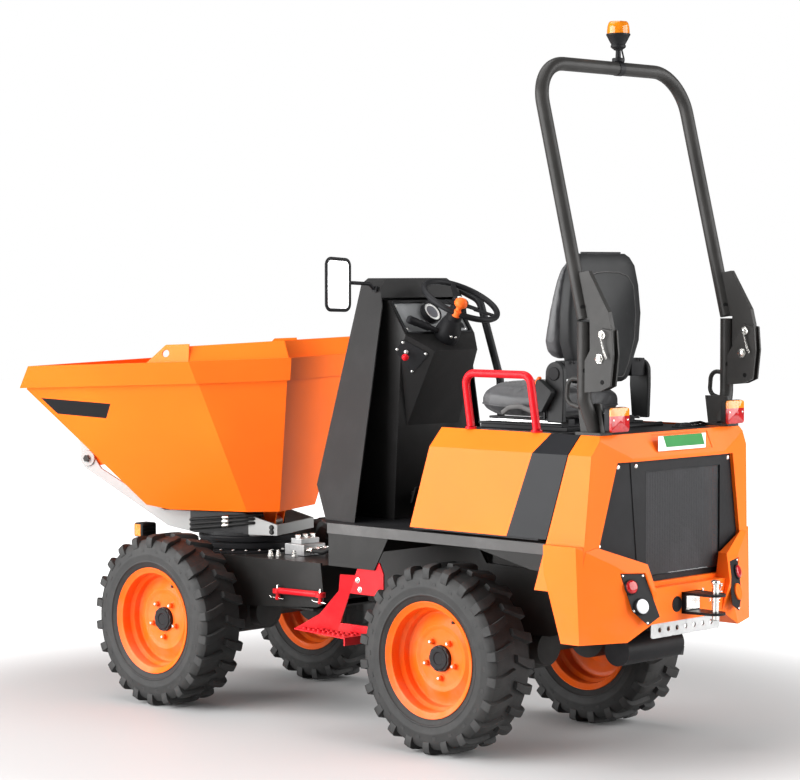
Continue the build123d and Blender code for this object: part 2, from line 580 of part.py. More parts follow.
def engine_deck():
    """Return the black inner box below the seat, open at the back and below, with the lid's hinge behind."""
    skin = -PANEL - SEAT_CLEARANCE
    foot = (Vector(0, 0, FLOOR_TOP + SEAT_CLEARANCE - skin), Vector(0, 0, -1))
    cross_section = body_planes()[1:]
    outer = hull(cross_section + [foot, raked(PANEL_FRONT - 6, 1), raked(PANEL_REAR + 6, -1)], skin)
    outer = outer & block((LID_FRONT + GAP, 0), (-600, 600), (0, DECK_TOP - PANEL - 1))
    inner = hull(cross_section + [raked(PANEL_FRONT - 6, 1)], skin - 4)
    inner = inner & block((-2000, 0), (-600, 600), (0, DECK_TOP - PANEL - 6))
    pin_z = DECK_TOP + 6
    knuckle = pin_y(LID_FRONT, pin_z, -119.5, 119.5, 9)
    knuckle += block((LID_FRONT, LID_FRONT + 40), (-119, 119), (DECK_TOP - 7, DECK_TOP + 3))
    return (outer - inner) + knuckle + pin_y(LID_FRONT, pin_z, -226, 226, 5)


def hood_outer(offset=0.0):
    """Return the solid outline of the rear hood, from the seam to the tail."""
    inside = (-1200.0, 0.0, 900.0)
    (fold_y, fold_z), (foot_y, foot_z) = HOOD_FOLD
    planes = body_planes()
    planes[0] = (Vector(0, 0, HOOD_FOOT), Vector(0, 0, -1))
    planes.append(raked(PANEL_REAR - GAP, 1))
    planes.append((Vector(HOOD_REAR, 0, 0), Vector(-1, 0, 0)))
    edge_x = HOOD_REAR + 36
    planes.append(facing((edge_x, 0, DECK_TOP), (HOOD_REAR, 0, fold_z + 12), (edge_x, 100, DECK_TOP), inside))
    for side in (1, -1):
        corner_x, corner_y, corner_z = HOOD_CORNER
        planes.append(facing((HOOD_REAR, side * fold_y, fold_z), (HOOD_REAR, side * foot_y, foot_z),
                             (corner_x, side * corner_y, corner_z), inside))
    return hull(planes, offset)


def grille_outline(grown=0.0):
    """Return the prism along X through the grille's outline, its outline moved outward."""
    half = GRILLE_HALF
    points = half + [(-width, height) for width, height in reversed(half)]
    outline = Plane.YZ * Polygon(*points, align=None)
    if grown:
        outline = Plane.YZ * offset(Polygon(*points, align=None), grown, kind=Kind.INTERSECTION)
    return Pos(-1600, 0, 0) * extrude(outline, 240, dir=(1, 0, 0))


def rear_hood():
    """Return the hood: a shell with the grille's walled recess, the label's recess and the lid's opening."""
    seam_cut = hull([raked(PANEL_REAR - GAP + 50, 1), raked(PANEL_REAR - GAP - 12, -1)]) & hood_outer(-PANEL)
    recess_wall = (hood_outer(-1) - hood_outer(-RECESS_DEPTH - PANEL)) & grille_outline(RECESS_WALL)
    lid_half = LID_HALF + GAP
    lid = block((-1404 - SEAT_CLEARANCE, -1000), (-lid_half, lid_half), (DECK_TOP - 20, DECK_TOP + 20))
    foot = block((-1600, -1100), (-600, 600), (HOOD_FOOT - 5, HOOD_FOOT + PANEL + 2))
    foot += block((-1420, -1100), (-REAR_HALF - 20, REAR_HALF + 20), (HOOD_FOOT - 5, 665))
    label = (hood_outer(1) - hood_outer(-2)) & block((-1500, HOOD_REAR + 40), LABEL_Y, LABEL_Z)
    shell = (hood_outer() - hood_outer(-PANEL)) - label
    return shell + recess_wall - seam_cut - grille_outline() - lid - foot


def grille_panel():
    """Return the grille: the bezel folded at both corners and the slats that stand for the mesh."""
    bezel = (hood_outer(-RECESS_DEPTH) - hood_outer(-RECESS_DEPTH - PANEL)) & grille_outline(-SEAT_CLEARANCE)
    face = HOOD_REAR + RECESS_DEPTH
    (y_low, y_high), (z_low, z_high) = MESH_Y, MESH_Z
    bezel -= block((face - 5, face + 60), MESH_Y, MESH_Z)
    pitch = (z_high - z_low) / SLAT_COUNT
    slats = []
    for index in range(1, SLAT_COUNT):
        z = z_low + index * pitch
        slats.append(block((face + 1, face + 4), (y_low - 1, y_high + 1), (z - 2.5, z + 2.5)))
    return bezel + slats


def lamp_face():
    """Return the plane of the left horn's lamp face."""
    return facing(HORN_TOP[2], HORN_TOP[3], HORN_BELLY, (-1400.0, 380.0, 600.0))


def rear_bumper():
    """Return the tail casting: two horns with their lamps' recesses and the beam between them."""
    inside = (-1400.0, 380.0, 600.0)
    front_top, shoulder, face_top, inner_top = HORN_TOP
    side_foot, rear_foot, face_foot, inner_foot = HORN_FEET
    outer_ledge, inner_ledge = HORN_LEDGE
    sides = [
        (Vector(0, 0, BUMPER_FOOT), Vector(0, 0, -1)),
        (Vector(0, 0, shoulder[2]), Vector(0, 0, 1)),
        (Vector(*front_top), Vector(1, 0, 0)),
        facing((front_top[0], 0, 690), (side_foot[0], 0, BUMPER_FOOT), (front_top[0], 100, 690), inside),
        facing(front_top, shoulder, side_foot, inside),
        facing(shoulder, face_top, rear_foot, inside),
        lamp_face(),
        facing(face_foot, HORN_BELLY, inner_foot, inside),
        facing(inner_top, inner_foot, (-1300.0, inner_top[1], inner_top[2]), inside),
        facing(face_foot, inner_foot, (-1200.0, face_foot[1], face_foot[2]), inside),
    ]
    ahead = (outer_ledge[0] + 100, outer_ledge[1], outer_ledge[2])
    low = hull(sides + [facing(face_top, inner_top, inner_ledge, inside)])
    high = hull(sides + [facing(shoulder, face_top, outer_ledge, inside),
                         facing(outer_ledge, inner_ledge, ahead, inside)])
    recess = plate_yz(LAMP_PLATE, -1560, -1430) - hull([lamp_face()], -LAMP_RECESS)
    upper, lower = [bar(base - out * LAMP_BORE, base + out * 30, radius + SEAT_CLEARANCE)
                    for base, out, radius in lamp_places()]
    horn = low + high - recess - hood_outer(SEAT_CLEARANCE) - upper
    beam = block((BEAM_REAR, HOOD_REAR + 32), (-230, 230), (505, 628)) - hood_outer(SEAT_CLEARANCE)
    hole_y, hole_z, hole_radius = BEAM_HOLE
    beam -= bar((BEAM_REAR - 1, hole_y, hole_z), (BEAM_REAR + 12, hole_y, hole_z), hole_radius)
    return (horn - lower) + other_side(horn) + beam


def lamp_places():
    """Return the left horn's lamps as (centre on the lamp face, outward normal, radius)."""
    point, normal = lamp_face()
    places = []
    for y, z, radius in HORN_LAMPS:
        x = point.X - (normal.Y * (y - point.Y) + normal.Z * (z - point.Z)) / normal.X
        places.append((Vector(x, y, z), normal, radius))
    return places


def horn_lamps():
    """Return the round lamps in the horns' recesses: two in the left horn, the upper one in the right."""
    upper, lower = [bar(base - out * (LAMP_BORE - SEAT_CLEARANCE), base + out * 2, radius)
                    for base, out, radius in lamp_places()]
    return upper + lower + other_side(upper)


def tow_hitch():
    """Return the towing jaw, two round-ended plates with a drop pin, and the drilled apron below the beam."""
    front = BEAM_REAR - SEAT_CLEARANCE
    centre = HITCH_REAR + HITCH_HALF
    jaw = block((front - 16, front), (-HITCH_HALF, HITCH_HALF), (HITCH_Z[0], HITCH_Z[1] + HITCH_PLATE))
    for z in HITCH_Z:
        jaw += block((centre, front), (-HITCH_HALF, HITCH_HALF), (z, z + HITCH_PLATE))
        jaw += bar((centre, 0, z), (centre, 0, z + HITCH_PLATE), HITCH_HALF)
    pin = bar((centre - 8, 0, HITCH_Z[0] - 21), (centre - 8, 0, HITCH_Z[1] + 42), 12)
    handle = Pos(centre - 8, 0, HITCH_Z[1] + 42) * Sphere(17)
    apron = block((front + 14, front + 20), (-APRON_HALF, APRON_HALF), APRON_Z)
    pitch = 2 * APRON_HALF / 8
    height = (APRON_Z[0] + APRON_Z[1]) / 2
    for index in range(7):
        y = (index - 3) * pitch
        apron -= bar((front + 10, y, height), (front + 24, y, height), 9)
    return jaw + pin + handle + apron


# ---------------------------------------------------------------- operator's place
def console_shell():
    """Return the front shield: front plate, flared side returns and the visor above the dash."""
    inside = (-120.0, 0.0, 1000.0)
    front = facing((-100, 0, COWL_TOP), (20, 0, 905), (-100, 100, COWL_TOP), inside)
    low = facing((20, 0, 905), (-62, 0, FLOOR_TOP), (20, 100, 905), inside)
    foot = (Vector(0, 0, FLOOR_TOP + SEAT_CLEARANCE), Vector(0, 0, -1))
    planes = [(Vector(0, 0, COWL_TOP), Vector(0, 0, 1)), front, low]
    chamfer_y, chamfer_z = COWL_CHAMFER
    for side in (1, -1):
        flank = [(x, side * y, z) for x, y, z in COWL_FLANK]
        planes.append(facing(*flank, inside))
        planes.append(facing((-100, side * chamfer_y, COWL_TOP), (-220, side * chamfer_y, COWL_TOP),
                             (-150, side * 207, chamfer_z), inside))
    back = facing((-200, 0, COWL_TOP), (-226, 0, 1614), (-200, 100, COWL_TOP), inside)
    mouth = (Vector(-238, 0, 0), Vector(-1, 0, 0))
    cavity = hull(planes, -PANEL) & block((-600, 600), (-600, 600), (0, 1612))
    return hull(planes + [foot, back, mouth]) - cavity


def dash_plane():
    """Return the frame of the dash's upper face: X to the left, Z out of the face."""
    (head_x, head_z), (bend_x, bend_z) = DASH[:2]
    normal = Vector(bend_z - head_z, 0, head_x - bend_x).normalized()
    return Plane(origin=((head_x + bend_x) / 2, 0, (head_z + bend_z) / 2), x_dir=(0, 1, 0), z_dir=normal)


def console_body():
    """Return the column housing between floor and dash, with the recessed dash, its gauge and two pedals."""
    (head_x, head_z), (bend_x, bend_z), (foot_x, foot_z) = DASH
    bend_half, foot_half = DASH_HALF
    floor = FLOOR_TOP + SEAT_CLEARANCE
    wide = plate_xz([(-70, floor), (-262, floor), (-298, bend_z - 40), (bend_x, bend_z), (head_x, head_z),
                     (-150, head_z)], -bend_half, bend_half)
    inside = (-250.0, 0.0, 1350.0)
    planes = [(Vector(-200, 0, 0), Vector(1, 0, 0)), (Vector(0, 0, 1050), Vector(0, 0, -1)),
              (Vector(0, 0, bend_z), Vector(0, 0, 1)),
              facing((bend_x, 0, bend_z), (foot_x, 0, foot_z), (bend_x, 100, bend_z), inside),
              facing((foot_x, 0, foot_z), (-250, 0, 1060), (foot_x, 100, foot_z), inside)]
    for side in (1, -1):
        planes.append((Vector(0, side * bend_half, 0), Vector(0, side, 0)))
        planes.append(facing((bend_x, side * bend_half, bend_z), (foot_x, side * foot_half, foot_z),
                             (-250, side * 150, 1060), inside))
    socket = bar(steering_point(60), steering_point(COLUMN_END + 1), COLUMN_RADIUS + SEAT_CLEARANCE)
    face = dash_plane()
    height = ((head_x - bend_x) ** 2 + (head_z - bend_z) ** 2) ** 0.5
    recess = face * Box(2 * bend_half - 30, height - 18, 2 * DASH_RECESS)
    gauge = face * Pos(0, -15, -DASH_RECESS) * Cylinder(GAUGE_RADIUS, 20, align=SEATED)
    pedals = []
    for y in (-105, 100):
        pedals.append(block((-302, -255), (y - 6, y + 6), (868, 882)))
        pedals.append(plate_xz([(-310, 902), (-318, 902), (-296, 842), (-288, 842)], y - 32, y + 32))
    return (wide + hull(planes) - socket - recess) + gauge + pedals


def steering_point(distance):
    """Return a point on the steering column, measured down from the wheel's hub."""
    tilt = radians(STEER_TILT)
    return (STEER_HUB[0] + distance * sin(tilt), 0.0, STEER_HUB[1] - distance * cos(tilt))


def steering_column():
    """Return the column with its shroud and the switch stalk."""
    column = bar(steering_point(39 + SEAT_CLEARANCE), steering_point(COLUMN_END), COLUMN_RADIUS)
    place = Plane(origin=steering_point(140), z_dir=Vector(*steering_point(0)) - Vector(*steering_point(140)))
    shroud = place * Cone(50, 34, 60, align=SEATED)
    stalk = bar((-352, 40, 1484), (-310, 160, 1531), 12)
    return column + shroud + stalk


def steering_wheel():
    """Return the steering wheel: rim, hub, three spokes and the spinner knob."""
    place = Pos(STEER_HUB[0], 0, STEER_HUB[1]) * Rot(0, -STEER_TILT, 0)
    ring = Torus(STEER_RADIUS, 13)
    hub = Pos(0, 0, -22) * Cylinder(30, 34)
    spokes = []
    for angle in (90, 210, 330):
        spokes.append(Rot(0, 0, angle) * (Pos(STEER_RADIUS / 2 + 6, 0, -10) * Box(STEER_RADIUS - 18, 26, 8)))
    knob = Pos(STEER_RADIUS, 0, 20) * Cylinder(8, 30) + Pos(STEER_RADIUS, 0, 42) * Sphere(23)
    return place * (ring + hub + spokes + Rot(0, 0, 130) * knob)


def mirror_left():
    """Return the left mirror on its arm."""
    foot = block((-204, -180), (218.9, 230), (1634, 1656))
    arm = bar((-192, 225, 1645), (-181, 360, 1668), 8)
    head = block((-190, -168), (338, 472), (1560, 1764))
    return head + arm + foot


def seat_base():
    """Return the seat's plinth and rails on the deck, the hinge covers and the belt's buckle."""
    plinth = block((-1135, -715), (-228, 228), (DECK_TOP - PANEL - 1 + SEAT_CLEARANCE, 1172))
    rail_z = (1170, SEAT_SIDE[0][1] - SEAT_CLEARANCE)
    rails = [block((-1110, -730), (y - 20, y + 20), rail_z) for y in (-170, 170)]
    x, z, radius = HINGE_COVER
    cover = pin_y(x, z, *COVER_Y, radius) + block((x - radius, x + radius), COVER_Y, (1171, z))
    cover += block((x - radius, x + radius), (COVER_Y[0] - 6, COVER_Y[1]), (1160, 1172))
    outer = COVER_Y[1]
    buckle = plate_xz([(-1036, 1340), (-1108, 1292), (-1056, 1212), (-1008, 1240)], outer + 4, outer + 30)
    strap = block((-1056, -1048), (outer - 1, outer + 8), (1190, 1240))
    return plinth + rails + both_sides(cover) + buckle + strap


def outline_prisms(side, front, reach=2000.0):
    """Return the solid whose side view and mirrored half front view are the two outlines."""
    across = front + [(-width, height) for width, height in reversed(front)]
    return plate_xz(side, -reach, reach) & plate_yz(across, -reach, reach)


def seat_cushion():
    """Return the plain seat cushion with its rounded nose."""
    return outline_prisms(SEAT_SIDE, SEAT_FRONT)


def seat_back():
    """Return the plain seat back with its bolsters, and the arms that reach into the hinge covers."""
    arm_y = COVER_Y[0] - SEAT_CLEARANCE
    arm = block((-1122, -1072), (140, arm_y), (1330, 1400))
    return outline_prisms(BACK_SIDE, BACK_FRONT) + both_sides(arm)


def hand_rail():
    """Return the red hoop beside the seat."""
    y = 388.0
    foot_z = DECK_TOP + 8.5
    points = [(-825, y, foot_z), (-795, y, 1352), (-1098, y, 1352), (-1130, y, foot_z)]
    feet = [bar((x, y, DECK_TOP + SEAT_CLEARANCE), (x, y, foot_z), 20) for x in (-825, -1130)]
    return bent_bar(points, 38, 14) + feet


def grab_post():
    """Return the tall hand post at the right of the dash."""
    points = [(-205, -237, 1640), (-300, -245, 1600), (-405, -245, 1300), (-420, -245, FLOOR_TOP + 3)]
    foot = bar((-420, -245, FLOOR_TOP + SEAT_CLEARANCE), (-420, -245, FLOOR_TOP + 6), 30)
    return bent_bar(points, 60, 15) + foot + block((-224, -190), (-236, -223.1), (1626, 1654))


def hoop_post(side):
    """Return one fixed post of the roll-over hoop: gusset, bent tube and hinge cheeks."""
    y = side * HOOP_HALF
    pivot_x, pivot_z = HOOP_PIVOT
    foot_z = DECK_TOP + 9
    foot = block((-1414, -1307), sorted((side * 330, side * 394)), (DECK_TOP + SEAT_CLEARANCE, foot_z + 1))
    gusset = plate_xz([(-1413, foot_z), (-1307, foot_z), (-1293, 1262), (-1392, 1262)],
                      *sorted((y - side * 48, y - side * 38)))
    tube = bent_bar([(-1368, y - side * 40, foot_z), (-1354, y, 1275), (-1354, y, 1540)], 60, HOOP_TUBE)
    outline = [(-1352, 1300), (-1440, 1308), (-1480, 1325), (-1492, 1430), (-1485, 1512), (-1440, 1520),
               (-1352, 1380)]
    cheeks = [plate_xz(outline, y + inward - 4, y + inward + 4) for inward in (-14, 14)]
    pins = pin_y(pivot_x, pivot_z, y - 24, y + 24, PIN_RADIUS)
    hook = bent_bar([(-1332, y, 1345), (-1285, y, 1350), (-1278, y, 1265), (-1335, y, 1250)], 30, 8)
    return foot + gusset + tube + cheeks + pins + hook


def hoop():
    """Return the folding hoop with its hinge tongues."""
    y = HOOP_HALF
    leg, head = (-1353.0, 1549.0), (-1133.0, 2428.0)
    points = [(leg[0], y, leg[1]), (head[0], y, head[1]), (head[0], -y, head[1]), (leg[0], -y, leg[1])]
    frame = bent_bar(points, 150, HOOP_TUBE)
    outline = [(-1350, 1548), (-1300, 1700), (-1378, 1712), (-1464, 1574), (-1478, 1520), (-1478, 1402),
               (-1450, 1378), (-1405, 1382), (-1386, 1420), (-1384, 1548)]
    tongue = plate_xz(outline, y - 9.5, y + 9.5) - pin_y(*HOOP_PIVOT, y - 20, y + 20, PIN_RADIUS + PIN_PLAY)
    return frame + both_sides(tongue)


def beacon():
    """Return the beacon: clamp, stalk, black cone and amber lens."""
    x, y = -1133.0, -50.0
    base = 2428 + HOOP_TUBE
    clamp = bar((x, y, base + SEAT_CLEARANCE), (x, y, base + 14), 20)
    stalk = bar((x, y, base + 12), (x, y, base + 42), 9)
    cone = Pos(x, y, base + 40) * Cone(20, 42, 52, align=SEATED)
    lens = Pos(x, y, base + 92) * Cone(40, 34, 52, align=SEATED)
    return clamp + stalk + cone + lens


def tail_lamp(side):
    """Return one tail lamp and its bracket."""
    y = side * 329.0
    box = block((-1452, -1415.3), (y - 50, y + 50), (DECK_TOP + 12, 1250))
    inner_face = side * (HOOP_HALF - 48 - SEAT_CLEARANCE)
    bracket = block((-1416, -1394), sorted((inner_face - side * 10, inner_face)), (1175, 1215))
    return box + bracket


def engine_lid():
    """Return the lid between the posts, hinged at its front edge."""
    lid = block((-1404, LID_FRONT), (-LID_HALF, LID_HALF), (DECK_TOP - 4, DECK_TOP))
    notch = block((LID_FRONT - 12, LID_FRONT + 1), (-122, 122), (DECK_TOP - 10, DECK_TOP + 10))
    knuckle = pin_y(LID_FRONT, DECK_TOP + 6, 120, 220, 9)
    bore = pin_y(LID_FRONT, DECK_TOP + 6, -400, 400, 5 + PIN_PLAY)
    return (lid - notch) + both_sides(knuckle) - bore


# ---------------------------------------------------------------- build
def build():
    """Make every node in its place."""
    wheel_tyre, wheel_rim = tyre(), rim()
    for end, x in (("front", WHEELBASE / 2), ("rear", -WHEELBASE / 2)):
        for label, side in (("left", 1), ("right", -1)):
            place = wheel_place(x, side)
            keep(f"{end}_{label}_tyre", wheel_tyre, at=place)
            keep(f"{end}_{label}_rim", wheel_rim, at=place)
        keep(f"{end}_axle", axle(x))
    carrier_place = Pos(SLEW_X, 0, 0) * Rot(0, 0, SLEW_REST)
    barrel, rod = ram(TIP_RAM_BASE, TIP_RAM_EYE, 25, 15, RAM_EAR_Y - 1, 60)
    keep("skip", skip_body(), at=carrier_place)
    keep("skip_carrier", skip_carrier(), at=carrier_place)
    keep("tip_ram_barrel", barrel, at=carrier_place)
    keep("tip_ram_rod", rod, at=carrier_place)
    keep("front_frame", front_frame())
    keep("articulation_lock", lock_bar())
    keep("front_lamps", work_lamp(1), work_lamp(-1))
    keep("rear_frame", rear_frame())
    keep("floor_plate", floor_plate())
    keep("sill_rails", both_sides(sill_rail()))
    keep("skirts", both_sides(side_skirt()))
    keep("side_panels", both_sides(side_panel()))
    keep("hoop_posts", hoop_post(1), hoop_post(-1))
    keep("tail_lamps", tail_lamp(1), tail_lamp(-1), horn_lamps())
    keep("step", step())
    keep("engine_deck", engine_deck())
    engine_half = REAR_HALF - 12 - SEAT_CLEARANCE
    keep("engine_block", block((-1150, -720), (-engine_half, engine_half), (600, 1100)))
    keep("rear_hood", rear_hood())
    keep("grille", grille_panel())
    keep("rear_bumper", rear_bumper())
    keep("tow_hitch", tow_hitch())
    keep("muffler", muffler())
    keep("console_shell", console_shell())
    keep("console_body", console_body())
    keep("steering_column", steering_column())
    keep("steering_wheel", steering_wheel())
    keep("mirror", mirror_left())
    keep("grab_post", grab_post())
    keep("seat_base", seat_base())
    keep("seat_cushion", seat_cushion())
    keep("seat_back", seat_back())
    keep("hand_rail", hand_rail())
    keep("hoop", hoop())
    keep("beacon", beacon())
    keep("engine_lid", engine_lid())


build()
os.makedirs("parts", exist_ok=True)
for name, shape in NODES.items():
    export_step(shape, f"parts/{name}.step")
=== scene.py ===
"""Looks of a one-tonne articulated site dumper with a swivelling skip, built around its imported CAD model.

Sizes are millimetres of the machine's own frame: X forward, Y to the left, Z up, from the ground below the
articulation pin. The skip's own frame stands at the slewing axis and is turned with the skip. A builder takes
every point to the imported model's frame in metres.
"""
from __future__ import annotations

import logging
from dataclasses import dataclass
from enum import Enum
from math import cos, pi, radians, sin
from typing import Any, Iterable, Sequence

import bmesh
import bpy
import numpy as np
from mathutils.bvhtree import BVHTree
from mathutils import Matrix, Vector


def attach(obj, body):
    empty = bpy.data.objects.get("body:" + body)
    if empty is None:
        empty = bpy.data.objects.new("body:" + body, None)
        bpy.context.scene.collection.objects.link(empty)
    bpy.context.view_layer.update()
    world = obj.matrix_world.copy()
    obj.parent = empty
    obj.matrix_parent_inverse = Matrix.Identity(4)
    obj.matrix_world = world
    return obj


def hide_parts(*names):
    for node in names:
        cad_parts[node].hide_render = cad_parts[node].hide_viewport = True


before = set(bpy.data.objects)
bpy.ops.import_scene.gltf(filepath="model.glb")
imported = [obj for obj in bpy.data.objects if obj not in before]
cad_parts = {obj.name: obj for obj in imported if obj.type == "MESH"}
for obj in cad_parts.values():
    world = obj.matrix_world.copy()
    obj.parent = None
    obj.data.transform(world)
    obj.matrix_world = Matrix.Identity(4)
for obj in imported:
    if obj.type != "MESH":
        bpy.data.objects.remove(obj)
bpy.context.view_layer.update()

LOG = logging.getLogger("dumper")

Array = np.ndarray
Point = Sequence[float]
Colour = tuple[float, float, float]
Pair = tuple[float, float]
Pairs = tuple[Pair, ...]
Quad = tuple[float, float, float, float]
Quads = tuple[Quad, ...]

MM = 0.001
CENTRE_LINE_Y = -111.0      # the machine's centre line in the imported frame
SLEW_X = 750.0
SLEW_REST = 21.5
REAR = "rear_chassis"
FRONT = "front_chassis"


# ---------------------------------------------------------------- places
def placing(x: float = 0.0, y: float = 0.0, z: float = 0.0, turn: float = 0.0) -> Array:
    """Return the 4x4 matrix that turns about Z by an angle in degrees, then moves.

    Args:
        x, y, z: the move.
        turn: the angle about Z, in degrees.

    Returns:
        The matrix.
    """
    c, s = cos(radians(turn)), sin(radians(turn))
    return np.array([[c, -s, 0, x], [s, c, 0, y], [0, 0, 1, z], [0, 0, 0, 1.0]])


MACHINE = placing()
SKIP_FRAME = placing(x=SLEW_X, turn=SLEW_REST)


def unit(vector: Point) -> Array:
    """Return the vector divided by its length."""
    v = np.asarray(vector, float)
    return v / np.linalg.norm(v)


def units(rows: Array) -> Array:
    """Return the rows divided by their lengths."""
    return rows / np.linalg.norm(rows, axis=1)[:, None]


def across(direction: Point) -> tuple[Array, Array]:
    """Return two unit vectors square to a direction and to each other.

    Args:
        direction: the direction, of any length.

    Returns:
        The two vectors.
    """
    d = unit(direction)
    helper = np.array([0.0, 0.0, 1.0]) if abs(d[2]) < 0.9 else np.array([1.0, 0.0, 0.0])
    first = unit(np.cross(helper, d))
    return first, np.cross(d, first)


def spoke(angle: float) -> tuple[Array, Array]:
    """Return the unit vectors out along a wheel's spoke and round the wheel, at an angle in radians."""
    return np.array([cos(angle), 0, sin(angle)]), np.array([-sin(angle), 0, cos(angle)])


def filleted(points: Sequence[Point], radius: float | Sequence[float], steps: int = 8,
             closed: bool = False) -> Array:
    """Return a path along straight runs with an arc at every corner.

    Each corner is replaced by the arc that touches both runs: it starts radius / tan(half the corner's angle)
    before the corner, and its centre lies on the corner's bisector.

    Args:
        points: the corners, in order.
        radius: one radius, or one for each corner.
        steps: points along each arc.
        closed: whether the last run joins the first.

    Returns:
        The points of the path, one row each.
    """
    corners = np.asarray(points, float)
    count = len(corners)
    radii = np.full(count, float(radius)) if np.isscalar(radius) else np.asarray(radius, float)
    rows: list[Array] = []
    for index in range(count):
        if not closed and index in (0, count - 1):
            rows.append(corners[index][None, :])
            continue
        corner = corners[index]
        back, ahead = unit(corners[index - 1] - corner), unit(corners[(index + 1) % count] - corner)
        half = np.arccos(np.clip(back @ ahead, -1, 1)) / 2
        if radii[index] <= 0 or half > pi / 2 - 0.01:
            rows.append(corner[None, :])
            continue
        centre = corner + unit(back + ahead) * radii[index] / np.sin(half)
        start, end = corner + back * radii[index] / np.tan(half), corner + ahead * radii[index] / np.tan(half)
        a, b = start - centre, end - centre
        sweep = np.arccos(np.clip(unit(a) @ unit(b), -1, 1))
        t = np.linspace(0, 1, steps)[:, None]
        rows.append(centre + (np.sin((1 - t) * sweep) * a + np.sin(t * sweep) * b) / np.sin(sweep))
    return np.vstack(rows)


def rounded_rectangle(x: float, y: Point, z: Point, radius: float, steps: int) -> Array:
    """Return the outline of a rectangle across X, between the pairs y and z, with rounded corners."""
    corners = [(x, y[0], z[0]), (x, y[1], z[0]), (x, y[1], z[1]), (x, y[0], z[1])]
    return filleted(corners, radius, steps, closed=True)


def grid_faces(rows: int, cols: int, wrap_rows: bool, wrap_cols: bool) -> Array:
    """Return the quads of a grid of points, row by row.

    Args:
        rows, cols: the counts of points.
        wrap_rows, wrap_cols: whether the last row or column joins the first.

    Returns:
        The quads, four indices each.
    """
    i, j = np.mgrid[:rows - (not wrap_rows), :cols - (not wrap_cols)]
    down, right = (i + 1) % rows, (j + 1) % cols
    quads = [i * cols + j, i * cols + right, down * cols + right, down * cols + j]
    return np.stack(quads, -1).reshape(-1, 4)


